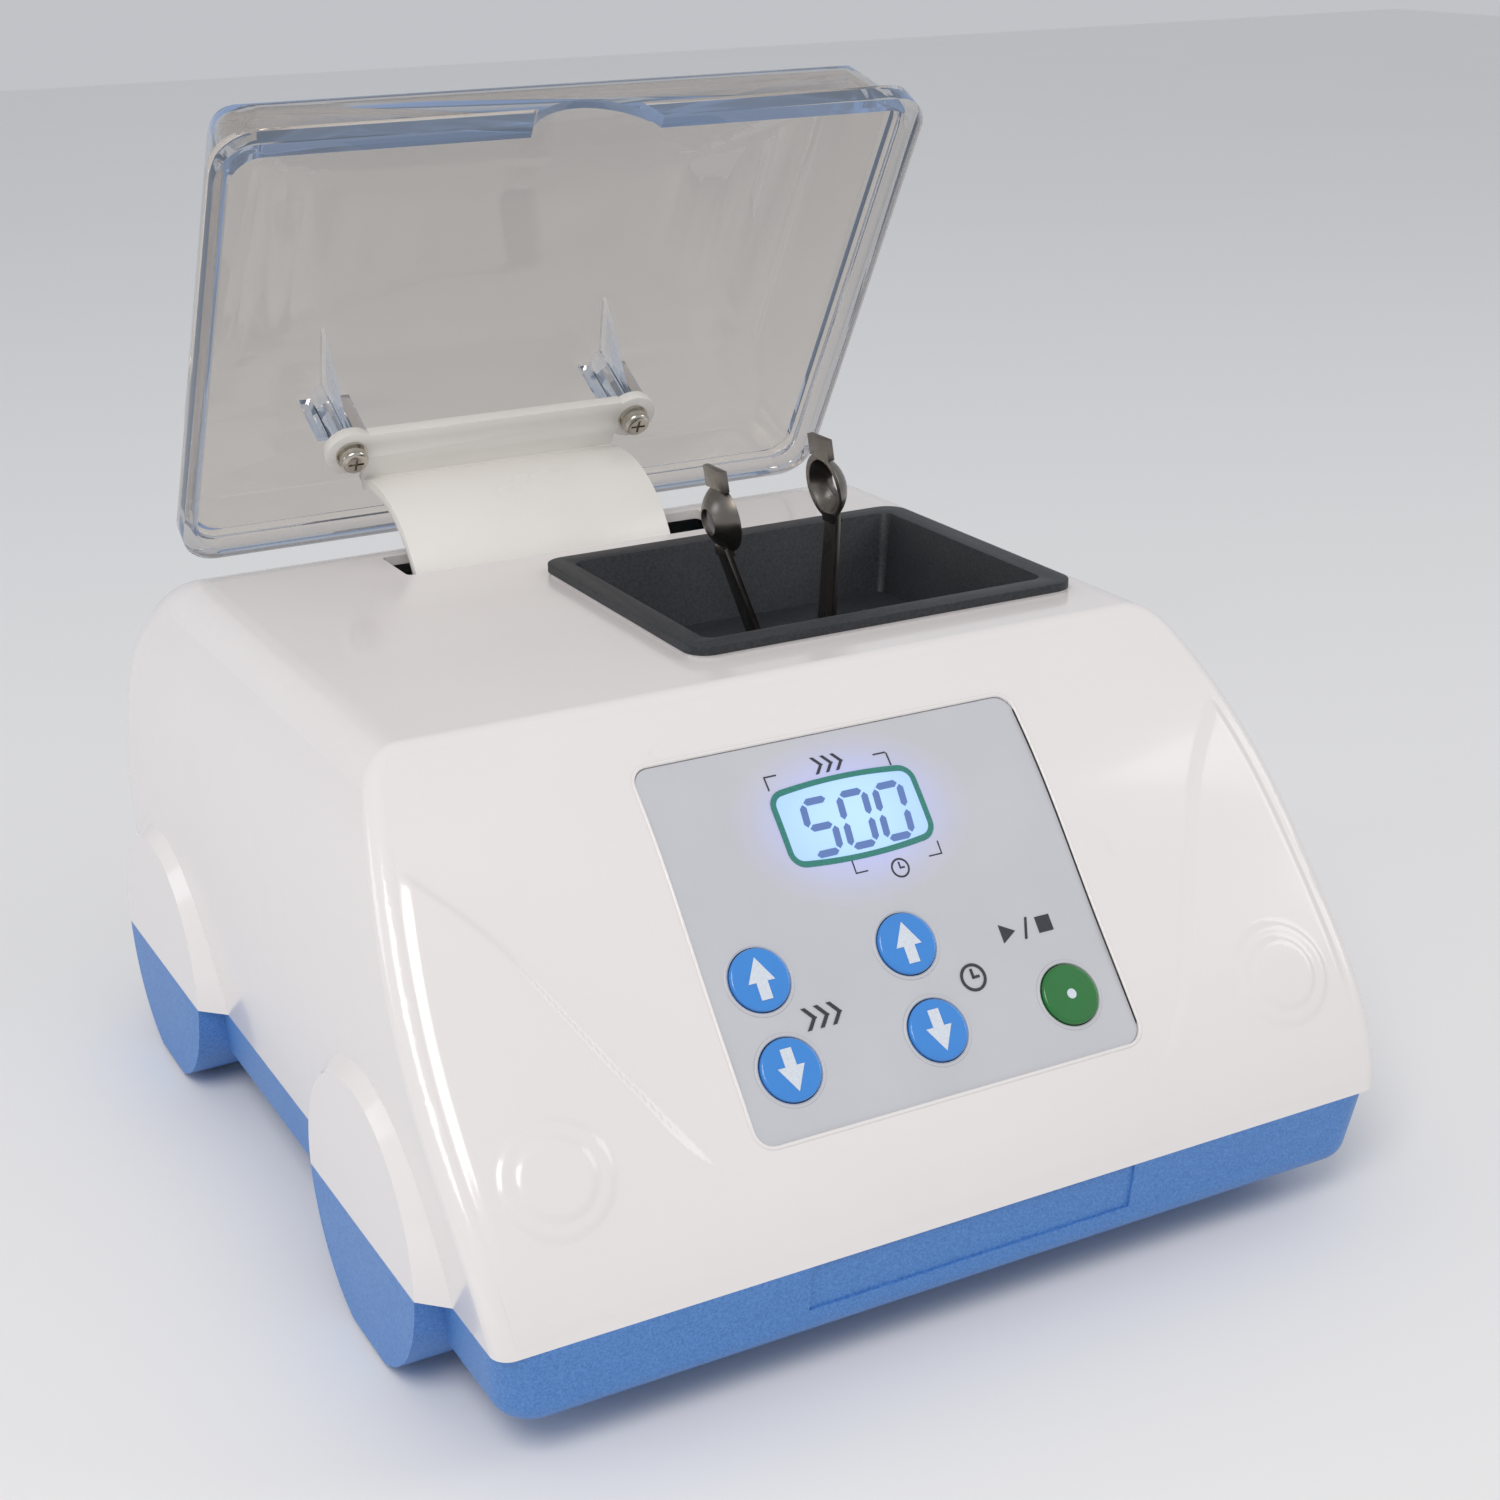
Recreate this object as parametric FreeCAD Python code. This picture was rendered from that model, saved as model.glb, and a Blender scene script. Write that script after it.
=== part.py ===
import FreeCAD, Part
import math
import os

# Dental capsule mixer (amalgamator): a bench-top box with a sloping key panel, a sunken tray
# with a two-armed capsule fork that a motor shakes, and a clear lid on a swinging arm.
# Millimetres. X to the right, Y to the back, Z up, Z = 0 on the bench.
# Everything is laid out from the lower front edge of the box (Y = 0 there), and the last
# step moves it so that the origin is under the middle of its outline.

# ---- driving dimensions: the box --------------------------------------------------------
WALL = 2.5                 # moulded wall of both housings
SEAM_WIDTH = 224.0         # width where the two housings meet
DEPTH = 251.0              # front edge to rear wall
BASE_Z = 10.0              # underside of the lower housing
SEAM_Z = 29.5              # joint line between the housings
TOP_Z = 129.7              # flat top
BELLY_OUT = 2.8            # the sides bulge this far beyond the joint line
BELLY_Z = 62.0
FLANK_Z = 100.0            # here the sides are back over the joint line
SHOULDER_IN = 10.4         # the flat top is narrower by this much on each side
TOP_FRONT_Y = 80.9         # where the sloping front meets the flat top
FRONT_CHIN = (2.6, 40.0)   # the front leans back a little up to here (Y, Z)
FRONT_MID = (24.5, 70.0)
FRONT_HIGH = (49.2, 100.0)
REAR_RADIUS = 34.0         # rear top edge
REAR_CORNER_R = 12.0
FRONT_EDGE_R = 4.0         # front upright edges and the rim of the flat top
BASE_TUCK = 3.0            # the lower housing leans in by this much
BASE_CORNER_R = 9.0
BASE_EDGE_R = 6.0
FLOOR_T = 3.0

# ---- wheel-shaped feet ------------------------------------------------------------------
FOOT_R = 32.0
FOOT_Z = 32.0
FOOT_FACE = SEAM_WIDTH / 2 + 6.0        # outer face, from the middle of the box
FOOT_THICK = 15.0
FOOT_Y = (61.0, DEPTH - 39.0)
ARCH_FLARE = 8.0           # the arch over each foot narrows by this much, over this depth
PAD_DIA = 12.0
PAD_T = 1.5

# ---- tray -------------------------------------------------------------------------------
TRAY_X = (-17.0, 90.5)     # outside of the rim
TRAY_Y = (DEPTH - 155.5, DEPTH - 68.7)
TRAY_RIM_W = 4.6
TRAY_RIM_T = 2.2
TRAY_WALL = 1.6
TRAY_CORNER_R = 6.0
COLLAR_H = 0.8             # raised white seat under the rim
TRAY_LEDGE_DROP = 21.0     # rim top to ledge
TRAY_WELL_DROP = 34.0      # rim top to well floor
TRAY_LEDGE_W = 12.0
TRAY_DRAFT = 4.0           # how far the upper walls lean in
FIT_GAP = 0.3              # between parts that drop into one another

# ---- shaker drive -----------------------------------------------------------------------
PIVOT_X = 45.7             # where the fork's middle line meets the shaft
SHAFT_Y = DEPTH - 103.0
SHAFT_Z = TOP_Z - 67.7
LEAN_DEG = -8.0            # fork leans left by the skew angle of its hub
SHAFT_DIA = 8.0
MOTOR_SHAFT_DIA = 6.0
RUN_GAP = 0.05             # radial running fit
MOTOR_DIA = 50.0
MOTOR_X = (-94.0, -30.0)
MOTOR_WALL = 1.8
CAP_T = 4.0
BALL_R = 10.0
RING_R = 17.0
RING_W = 9.0
BEARING_OD = 22.0
BEARING_W = 7.0
RACE_T = 2.3               # wall of a bearing's inner ring
WOBBLE_R = 13.0            # outside of the wobble ring, bore of the carrier
HUB_HALF = 7.5             # half width of the ball-shaped hub
GUIDE_PIN_R = 2.0
UPRIGHT_X = (19.0, 72.0)   # middle of each shaft bearing
FRAME_T = 3.0
FRAME_Z = 24.0
FRAME_X = (-100.0, 84.0)
FRAME_HALF_Y = 32.0
MOUNT_INSET = (9.0, 7.0)   # rubber mounts from the frame's ends and sides
MOUNT_R = 7.0
COUPLING_X = (-20.0, 2.0)
COUPLING_R = 9.0
SHAFT_SPLIT = -9.0         # the two shafts meet here, inside the coupling
SHAFT_END_GAP = 0.5
MOTOR_BOLT_R = 16.0
MOTOR_BOLTS = [(MOTOR_BOLT_R * math.cos(math.radians(a)), MOTOR_BOLT_R * math.sin(math.radians(a)))
               for a in (45, 135, 225, 315)]
BUSH_R = 5.0
BUSH_LENGTH = 6.0
CAP_BOSS_R = 9.0

# ---- capsule fork -----------------------------------------------------------------------
BLADE_T = 1.5
FORK_BLOCK_HALF = 5.5
FORK_BLOCK_TOP = 34.0      # radius from the shaft axis
ARM_FOOT_R = 23.0
CUP_LOW_R = 79.0
CUP_HIGH_R = 96.5
TAB_TOP_R = 101.0
CUP_HALF_GAP = 20.0        # middle line to the outside of a cup
CUP_WIDTH = CUP_HIGH_R - CUP_LOW_R
CUP_DEPTH = 5.5
CUP_HOLE_DIA = 7.0
TAB_HALF = 5.0
NECK_WIDTH = 5.5
ARM_WIDTH = 8.0
BOLT_RADIUS = (ARM_FOOT_R + FORK_BLOCK_TOP) / 2    # clamping bolt, from the shaft axis
FORK_SLOT_HALF = (15.5, 9.0)                       # slot in the tray's floor for the fork

# ---- lid and hinge ----------------------------------------------------------------------
LID_WIDTH = 190.5
LID_LENGTH = 132.0
LID_WALL = 2.4
LID_FRONT_H = 24.0
LID_CROWN_H = 38.8
LID_REAR_H = 20.0
LID_SIDE_DRAFT = 6.0
LID_OPEN_DEG = 59.46       # angle between the open lid and the top
LID_CLOSED_Y = DEPTH - 163.0            # front edge of the shut lid
LID_GAP = 0.73             # shut lid above the top
LID_BAND_H = 6.0
LID_BAND_OUT = 1.2
NOTCH_W = 35.0
NOTCH_H = 12.0
HINGE_Y = DEPTH - 22.0
HINGE_Z = 112.7
ARM_MID_X = -8.0
ARM_HALF = 37.0
ARM_R = 34.5               # outside of the curved arm, about the hinge axis
ARM_T = 3.0
ARM_X = (ARM_MID_X - ARM_HALF, ARM_MID_X + ARM_HALF)
EAR_OFFSET = ARM_HALF + 4.5             # each lid screw from the arm's middle
EARS_X = (ARM_MID_X - EAR_OFFSET, ARM_MID_X + EAR_OFFSET)
EAR_R = 7.0
EAR_ALONG = 105.0          # lid screws, from the lid's front edge
EAR_DEPTH = 7.6            # back of the ears above the rim plane
EAR_T = 3.0
LID_BOSS_R = 3.6
RIB_T = 1.2
RIB_REACH = 7.0            # short ribs beside each boss
RIB_LENGTH = 22.0          # long rib from each boss towards the lid's front
PIN_DIA = 6.0
HUB_R = 7.5
CHEEK_T = 4.0
SLOT_X = (ARM_X[0] - 3.0, ARM_X[1] + 17.0)
SLOT_Y = (DEPTH - 54.2, DEPTH - 35.0)
BRACKET_T = 2.0
MAGNET_RADIUS = 22.0       # lid magnet, from the hinge axis
MAGNET_T = 2.0
SCREW4_R = 2.0
SCREW3_R = 1.5

# ---- key panel --------------------------------------------------------------------------
PANEL_X = (-47.5, 50.0)
PANEL_Z = (53.6, 118.3)
PANEL_CORNER_R = 4.0
OVERLAY_TOP = 0.45         # face of the overlay below the housing's face
OVERLAY_T = 0.7
KEY_DIA = 14.0
KEY_TRAVEL = 0.6
KEY_PROUD = 1.0            # dome above the overlay
KEY_GAP = 0.25
KEYS = {
    "key_speed_up": (-35.1, 80.0),
    "key_speed_down": (-35.1, 64.6),
    "key_timer_up": (1.5, 79.8),
    "key_timer_down": (1.5, 64.5),
    "key_start": (36.3, 64.4),
}
DISPLAY_X = 0.0            # middle of the display
DISPLAY_Z = 103.5
DISPLAY_W = 35.0
DISPLAY_H = 16.4
LENS_T = 1.5
MODULE_T = 6.0
BOARD_T = 1.6
BOARD_BEHIND = 11.0        # board face behind the chord of the front face
SWITCH_T = 3.4

# ---- rear fittings ----------------------------------------------------------------------
INLET_X = 62.0
INLET_Z = 50.0
INLET_W = 27.0
INLET_H = 20.0
ROCKER_X = 22.0
ROCKER_W = 13.0
ROCKER_H = 19.0
FUSE_X = -6.0
FUSE_DIA = 12.0
INLET_SCREW = 20.0         # each flange screw from the inlet's middle
INLET_PINS = ((-7.0, -1.5), (0.0, 2.5), (7.0, -1.5))
ROCKER_TILT = 7.0

# ---- power supply -----------------------------------------------------------------------
TRANSFORMER = (-96.0, 66.0)             # left front corner of the coil's outline
CORE_SIZE = (50.0, 22.0, 42.0)          # iron core: along X, along Y, height
CORE_LIMB = 8.0                         # width of its outer limbs and of the middle one
COIL_DEPTH = 38.0
CAPACITOR = (7.5, 24.0, 19.0)           # radius, height, spacing
POWER_BOARD = (18.0, 96.0, 62.0, 108.0)
BOARD_POST_INSET = 4.0
SINK_H = 26.0
SINK_FINS = 6

X_DIR = FreeCAD.Vector(1, 0, 0)
Y_DIR = FreeCAD.Vector(0, 1, 0)
Z_DIR = FreeCAD.Vector(0, 0, 1)
FAR = 400.0
INSET_SPANS = 12           # spans of a spline redrawn at an inset


# ---- small helpers ----------------------------------------------------------------------
def vec(x, y, z):
    return FreeCAD.Vector(x, y, z)


def box(x0, x1, y0, y1, z0, z1):
    return Part.makeBox(x1 - x0, y1 - y0, z1 - z0, vec(x0, y0, z0))


def rod(start, direction, radius, length):
    return Part.makeCylinder(radius, length, start, direction)


def rod_x(x0, x1, y, z, radius):
    return rod(vec(x0, y, z), X_DIR, radius, x1 - x0)


def rod_z(x, y, z0, z1, radius):
    return rod(vec(x, y, z0), Z_DIR, radius, z1 - z0)


def line(a, b):
    return Part.LineSegment(a, b).toShape()


def polygon(points):
    closed = points + [points[0]]
    return Part.Face(Part.makePolygon(closed))


def spline(points):
    curve = Part.BSplineCurve()
    curve.interpolate(points)
    return curve.toShape()


def rounded_rect(x0, x1, y0, y1, z, radius):
    """Closed wire of a rectangle with round corners, at height z."""
    corners = [(x1 - radius, y1 - radius, 0), (x0 + radius, y1 - radius, 90),
               (x0 + radius, y0 + radius, 180), (x1 - radius, y0 + radius, 270)]
    edges = []
    last = None
    for cx, cy, start in corners:
        circle = Part.Circle(vec(cx, cy, z), Z_DIR, radius)
        arc = Part.Arc(circle, math.radians(start), math.radians(start + 90)).toShape()
        if last is not None:
            edges.append(line(last, arc.Vertexes[0].Point))
        edges.append(arc)
        last = arc.Vertexes[-1].Point
    edges.append(line(last, edges[0].Vertexes[0].Point))
    return Part.Wire(edges)


def slab(x0, x1, y0, y1, z0, z1, radius):
    return Part.Face(rounded_rect(x0, x1, y0, y1, z0, radius)).extrude(vec(0, 0, z1 - z0))


def union(shapes):
    result = shapes[0]
    if len(shapes) > 1:
        result = shapes[0].multiFuse(shapes[1:])
    return result.removeSplitter()


def turned(shape, centre, axis, degrees):
    copy = shape.copy()
    copy.rotate(centre, axis, degrees)
    return copy


def upright_edges(shape, test, tolerance=0.35):
    """Edges whose ends share one height less than their length, picked by a test."""
    found = []
    for edge in shape.Edges:
        first = edge.Vertexes[0].Point
        last = edge.Vertexes[-1].Point
        rise = abs(last.z - first.z)
        if rise > tolerance * edge.Length and test(edge.CenterOfMass):
            found.append(edge)
    return found


# ---- outside form of the box ------------------------------------------------------------
def side_outline():
    """Closed outline in the YZ plane: curved front, flat top, round rear edge."""
    front = spline([vec(0, 0, SEAM_Z), vec(0, *FRONT_CHIN), vec(0, *FRONT_MID),
                    vec(0, *FRONT_HIGH), vec(0, TOP_FRONT_Y, TOP_Z)])
    rear_top = vec(0, DEPTH - REAR_RADIUS, TOP_Z)
    rear_low = vec(0, DEPTH, TOP_Z - REAR_RADIUS)
    bend = REAR_RADIUS * math.sqrt(0.5)
    rear_mid = vec(0, DEPTH - REAR_RADIUS + bend, TOP_Z - REAR_RADIUS + bend)
    rear = Part.Arc(rear_top, rear_mid, rear_low).toShape()
    floor_back = vec(0, DEPTH, SEAM_Z)
    return Part.Wire([front, line(vec(0, TOP_FRONT_Y, TOP_Z), rear_top), rear,
                      line(rear_low, floor_back), line(floor_back, vec(0, 0, SEAM_Z))])


def cross_outline():
    """Closed outline in the XZ plane: sides that bulge below and lean in above."""
    half = SEAM_WIDTH / 2
    shoulder = half - SHOULDER_IN
    points = [vec(half, 0, SEAM_Z), vec(half + BELLY_OUT, 0, BELLY_Z),
              vec(half, 0, FLANK_Z), vec(shoulder, 0, TOP_Z)]
    right = spline(points)
    left = spline([vec(-p.x, 0, p.z) for p in reversed(points)])
    return Part.Wire([right, line(points[-1], vec(-shoulder, 0, TOP_Z)), left,
                      line(vec(-half, 0, SEAM_Z), points[0])])


def inset(wire, depth):
    """The outline taken in by depth, its curved stretches redrawn as plain splines."""
    if depth == 0:
        return wire
    edges = []
    for edge in wire.makeOffset2D(-depth).Edges:
        if isinstance(edge.Curve, (Part.Line, Part.Circle)):
            edges.append(edge)
        else:
            first, last = edge.ParameterRange
            edges.append(spline([edge.valueAt(first + (last - first) * step / INSET_SPANS)
                                 for step in range(INSET_SPANS + 1)]))
    return Part.Wire(Part.__sortEdges__(edges))


def front_slab(depth):
    """Everything behind the front, top and rear faces, taken in by depth."""
    face = Part.Face(inset(side_outline(), depth))
    face.translate(vec(-FAR / 2, 0, 0))
    return face.extrude(vec(FAR, 0, 0))


def side_slab(depth):
    face = Part.Face(inset(cross_outline(), depth))
    face.translate(vec(0, -FAR / 2, 0))
    return face.extrude(vec(0, 2 * FAR, 0))


def top_rim(form):
    """Edges around the flat top, without the one that runs into the round rear edge."""
    return [edge for edge in form.Edges
            if all(abs(v.Point.z - form_top(form)) < 0.05 for v in edge.Vertexes)
            and edge.Length > 20 and edge.CenterOfMass.y < DEPTH - REAR_RADIUS - 1]


def form_top(form):
    return max(v.Point.z for v in form.Vertexes)


def box_form(depth):
    """The upper box taken in by depth, with its upright and top edges rounded."""
    form = front_slab(depth).common(side_slab(depth))
    rear = upright_edges(form, lambda c: c.y > DEPTH - 40 and abs(c.x) > 80)
    form = form.makeFillet(REAR_CORNER_R - depth, rear)
    front = upright_edges(form, lambda c: c.y < 60 and abs(c.x) > 80)
    return form.makeFillet(FRONT_EDGE_R - depth, front + top_rim(form))


def base_form(depth):
    """The lower box taken in by depth: a shallow dish that leans in."""
    half = SEAM_WIDTH / 2 - depth
    corner = BASE_CORNER_R - depth
    top = rounded_rect(-half, half, depth, DEPTH - depth, SEAM_Z, corner)
    low = rounded_rect(-half + BASE_TUCK, half - BASE_TUCK, depth + BASE_TUCK,
                       DEPTH - depth - BASE_TUCK, BASE_Z, corner)
    form = Part.makeLoft([low, top], True, True)
    edges = [e for e in form.Edges if abs(e.CenterOfMass.z - BASE_Z) < 0.1
             and e.BoundBox.ZLength < 0.1]
    return form.makeFillet(BASE_EDGE_R - depth, edges)


def at_feet(make):
    """One shape per foot; make(side, y) builds it on the left (-1) or right (1)."""
    return [make(side, y) for y in FOOT_Y for side in (-1, 1)]


def foot_disc(side, y):
    start = vec(side * (FOOT_FACE - FOOT_THICK), y, FOOT_Z)
    return rod(start, vec(side, 0, 0), FOOT_R, FOOT_THICK)


def foot_arch(side, y):
    start = vec(side * (FOOT_FACE - ARCH_FLARE), y, FOOT_Z)
    return Part.makeCone(FOOT_R + ARCH_FLARE, FOOT_R, ARCH_FLARE, start, vec(side, 0, 0))


# ---- front face geometry ----------------------------------------------------------------
def front_point(z):
    """Point of the front face at height z, with its outward normal."""
    edge = side_outline().Edges[0]
    low, high = edge.ParameterRange
    for _ in range(40):
        middle = (low + high) / 2
        if edge.valueAt(middle).z < z:
            low = middle
        else:
            high = middle
    tangent = edge.tangentAt(low)
    normal = vec(0, -tangent.z, tangent.y)
    return edge.valueAt(low), normal


def panel_frame():
    """Middle of the panel, its outward normal and its up-slope direction."""
    low, _ = front_point(PANEL_Z[0])
    high, _ = front_point(PANEL_Z[1])
    up = (high - low).normalize()
    normal = vec(0, -up.z, up.y)
    middle = (low + high) / 2
    middle.x = (PANEL_X[0] + PANEL_X[1]) / 2
    return middle, normal, up, (high - low).Length


def onto_face(shape, middle, normal):
    """Move a shape made flat (X across, Y up the slope, Z out) onto the front face."""
    up = vec(0, normal.z, -normal.y)
    matrix = FreeCAD.Matrix(1, up.x, normal.x, middle.x,
                            0, up.y, normal.y, middle.y,
                            0, up.z, normal.z, middle.z,
                            0, 0, 0, 1)
    moved = shape.copy()
    moved.Placement = FreeCAD.Placement(matrix).multiply(moved.Placement)
    return moved


def on_panel(shape):
    middle, normal, _, _ = panel_frame()
    return onto_face(shape, middle, normal)


def behind_face(depth):
    """Everything at least this deep behind the front face, over the panel's slope."""
    _, normal, _, _ = panel_frame()
    deep = front_slab(0)
    deep.translate(normal * -depth)
    return deep


def panel_prism(gap):
    """Round-cornered prism through the panel's outline."""
    _, _, _, length = panel_frame()
    half = (PANEL_X[1] - PANEL_X[0]) / 2 + gap
    tall = length / 2 + gap
    return on_panel(slab(-half, half, -tall, tall, -14.0, 6.0, PANEL_CORNER_R))


def display_prism(margin_x, margin_y, low, high):
    """Prism over the display, between two heights above the face there."""
    point, normal = front_point(DISPLAY_Z)
    half = DISPLAY_W / 2 + margin_x
    tall = DISPLAY_H / 2 + margin_y
    point.x = DISPLAY_X
    return onto_face(slab(-half, half, -tall, tall, low, high, 1.5), point, normal)


def key_rod(name, radius, low, high):
    """Cylinder on a key's axis, between two heights above the housing's face."""
    x, z = KEYS[name]
    point, normal = front_point(z)
    start = vec(x, point.y, point.z) + normal * low
    return rod(start, normal, radius, high - low)


def face_layer(top, bottom):
    return front_slab(top).cut(front_slab(bottom))


# ---- places shared by several pieces ----------------------------------------------------
HOUSING_SCREW_X = SEAM_WIDTH / 2 - 18.0
HOUSING_SCREWS = [(x, y) for x in (-HOUSING_SCREW_X, HOUSING_SCREW_X) for y in (26.0, DEPTH - 19.0)]
BRACKET_SCREW_Y = DEPTH - 46.0
BRACKET_X = (SLOT_X[0] - 1.5, SLOT_X[1] + 1.5)     # inner faces of the two hinge brackets
BRACKET_SCREWS = [(BRACKET_X[0] - 9.5, BRACKET_SCREW_Y), (BRACKET_X[1] + 9.5, BRACKET_SCREW_Y)]
BRACKET_FOOT_Z = TOP_Z - WALL - 5.0                # top of the brackets' feet
MOUNTS = [(x, SHAFT_Y + side * (FRAME_HALF_Y - MOUNT_INSET[1]))
          for x in (FRAME_X[0] + MOUNT_INSET[0], FRAME_X[1] - MOUNT_INSET[0]) for side in (-1, 1)]
BOARD_HALF_X = 46.5
BOARD_HALF_Y = 41.5
POST_INSET = 3.5                                   # post to the board's edges
BOARD_POSTS = [(x * (BOARD_HALF_X - POST_INSET), y * (BOARD_HALF_Y - POST_INSET))
               for x in (-1, 1) for y in (-1, 1)]
PIVOT = vec(PIVOT_X, SHAFT_Y, SHAFT_Z)
HINGE = vec(0, HINGE_Y, HINGE_Z)
RIM_Z = TOP_Z + LID_GAP                            # rim plane of the shut lid
TRAY_TOP_Z = TOP_Z + COLLAR_H + TRAY_RIM_T
LEDGE_Z = TRAY_TOP_Z - TRAY_LEDGE_DROP
WELL_Z = TRAY_TOP_Z - TRAY_WELL_DROP
FLOOR_Z = BASE_Z + FLOOR_T
POWER_BOARD_Z = FLOOR_Z + 7.0


# ---- housings ---------------------------------------------------------------------------
def tray_outline(inward, z0, z1):
    radius = max(TRAY_CORNER_R - inward, 1.0)
    return slab(TRAY_X[0] + inward, TRAY_X[1] - inward,
                TRAY_Y[0] + inward, TRAY_Y[1] - inward, z0, z1, radius)


def rear_cut(x, width, height):
    return box(x - width / 2, x + width / 2, DEPTH - 2 * WALL, DEPTH + 5,
               INLET_Z - height / 2, INLET_Z + height / 2)


def board_posts(radius, low, high):
    return [on_panel(rod_z(x, y, low, high, radius)) for x, y in BOARD_POSTS]


def upper_housing():
    above_seam = box(-FAR, FAR, 0, FAR, SEAM_Z, FAR)
    arches = [arch.common(above_seam) for arch in at_feet(foot_arch)]
    half = SEAM_WIDTH / 2 - WALL
    mouth = slab(-half, half, WALL, DEPTH - WALL, SEAM_Z - 1, SEAM_Z + 2 * WALL, 5.0)
    shell = union([box_form(0)] + arches).cut(box_form(WALL)).cut(mouth)
    shell = shell.fuse(tray_outline(0.6, TOP_Z - 1, TOP_Z + COLLAR_H))
    shell = shell.cut(tray_outline(TRAY_RIM_W - FIT_GAP, TOP_Z - 10, TOP_Z + 5))
    shell = shell.cut(slab(*SLOT_X, *SLOT_Y, TOP_Z - 10, TOP_Z + 5, 1.5))
    # panel recess, key holes and display opening
    recess = panel_prism(0.15).cut(behind_face(OVERLAY_TOP + OVERLAY_T))
    shell = shell.cut(recess)
    for name in KEYS:
        shell = shell.cut(key_rod(name, KEY_DIA / 2 + KEY_GAP, -8, 4))
    shell = shell.cut(display_prism(0.1, 0.1, -10, 4))
    # posts and bosses inside
    posts = Part.makeCompound(board_posts(3.0, -BOARD_BEHIND, 4)).common(behind_face(WALL * 0.7))
    columns = [rod_z(x, y, SEAM_Z, TOP_Z, 5.0) for x, y in HOUSING_SCREWS]
    pads = [rod_z(x, y, BRACKET_FOOT_Z, TOP_Z - 1, 4.0) for x, y in BRACKET_SCREWS]
    inside = Part.makeCompound(columns).common(box_form(WALL / 2))
    shell = shell.fuse([posts, inside] + pads)
    holes = board_posts(1.3, -BOARD_BEHIND - 1, -BOARD_BEHIND + 6)
    holes += [rod_z(x, y, SEAM_Z - 1, SEAM_Z + 22, SCREW3_R + RUN_GAP) for x, y in HOUSING_SCREWS]
    holes += [rod_z(x, y, BRACKET_FOOT_Z - 1, TOP_Z - 1.5, SCREW3_R + RUN_GAP)
              for x, y in BRACKET_SCREWS]
    # rear fittings
    holes += [rear_cut(INLET_X, INLET_W, INLET_H), rear_cut(ROCKER_X, ROCKER_W, ROCKER_H)]
    holes.append(rod(vec(FUSE_X, DEPTH - 20, INLET_Z), Y_DIR, FUSE_DIA / 2 + 0.1, 40))
    holes += [rod(vec(INLET_X + dx, DEPTH - 20, INLET_Z), Y_DIR, SCREW3_R + RUN_GAP, 40)
              for dx in (-INLET_SCREW, INLET_SCREW)]
    return shell.cut(Part.makeCompound(holes)).removeSplitter()


def lower_housing():
    below_seam = box(-FAR, FAR, 0, FAR, PAD_T, SEAM_Z)
    feet = [disc.common(below_seam) for disc in at_feet(foot_disc)]
    above_floor = box(-FAR, FAR, 0, FAR, FLOOR_Z, FAR)
    dish = union([base_form(0)] + feet).cut(base_form(WALL).common(above_floor))
    plate = box(-41.3, 41.3, -1, 20, SEAM_Z - 11.7, SEAM_Z + 1)
    dish = dish.cut(base_form(0).cut(base_form(0.6)).common(plate))
    columns = [rod_z(x, y, BASE_Z + 1, SEAM_Z, 5.0) for x, y in HOUSING_SCREWS]
    x0, x1, y0, y1 = POWER_BOARD
    posts = [rod_z(x, y, BASE_Z + 1, POWER_BOARD_Z, 3.0)
             for x in (x0 + BOARD_POST_INSET, x1 - BOARD_POST_INSET)
             for y in (y0 + BOARD_POST_INSET, y1 - BOARD_POST_INSET)]
    dish = dish.fuse(columns + posts)
    cuts = []
    for x, y in HOUSING_SCREWS:
        cuts.append(rod_z(x, y, BASE_Z - 1, SEAM_Z + 1, SCREW3_R + 0.2))
        cuts.append(rod_z(x, y, BASE_Z - 1, BASE_Z + 6, 3.2))
    cuts += [rod_z(x, y, BASE_Z + 0.8, FLOOR_Z + 1, SCREW4_R + RUN_GAP) for x, y in MOUNTS]
    for step in range(7):
        x = -30.0 + 10.0 * step
        cuts.append(box(x - 1.5, x + 1.5, 34, 54, BASE_Z - 1, FLOOR_Z + 1))
        cuts.append(box(x - 1.5, x + 1.5, 196, 216, BASE_Z - 1, FLOOR_Z + 1))
    return dish.cut(Part.makeCompound(cuts)).removeSplitter()


def foot_pads():
    middle = FOOT_FACE - FOOT_THICK / 2
    return Part.makeCompound(at_feet(
        lambda side, y: rod_z(side * middle, y, 0, PAD_T, PAD_DIA / 2)))


def pan_screw(tip, direction, radius, length, head_r, head_h):
    """Screw from its tip along direction, with a domed cross-recessed head."""
    under = tip + direction * length
    head = rod(under, direction, head_r, head_h)
    head = head.makeFillet(head_h * 0.55, [head.Edges[0]] if
                           (head.Edges[0].CenterOfMass - under).Length > head_h / 2
                           else [head.Edges[2]])
    screw = rod(tip, direction, radius, length).fuse(head)
    side = Z_DIR if abs(direction.z) < 0.5 else X_DIR
    cross = direction.cross(side)
    top = under + direction * head_h
    for axis in (side, cross):
        bar = Part.makeBox(head_r * 1.1, 0.7, 1.2)
        bar.translate(vec(-head_r * 0.55, -0.35, -1.2))
        spin = FreeCAD.Rotation(axis, direction.cross(axis), direction, "XZY")
        bar.Placement = FreeCAD.Placement(top, spin).multiply(bar.Placement)
        screw = screw.cut(bar)
    return screw.removeSplitter()


def housing_screws():
    return Part.makeCompound([
        pan_screw(vec(x, y, SEAM_Z + 18), -Z_DIR, SCREW3_R, SEAM_Z + 18 - BASE_Z - 6, 2.9, 2.2)
        for x, y in HOUSING_SCREWS])


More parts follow.
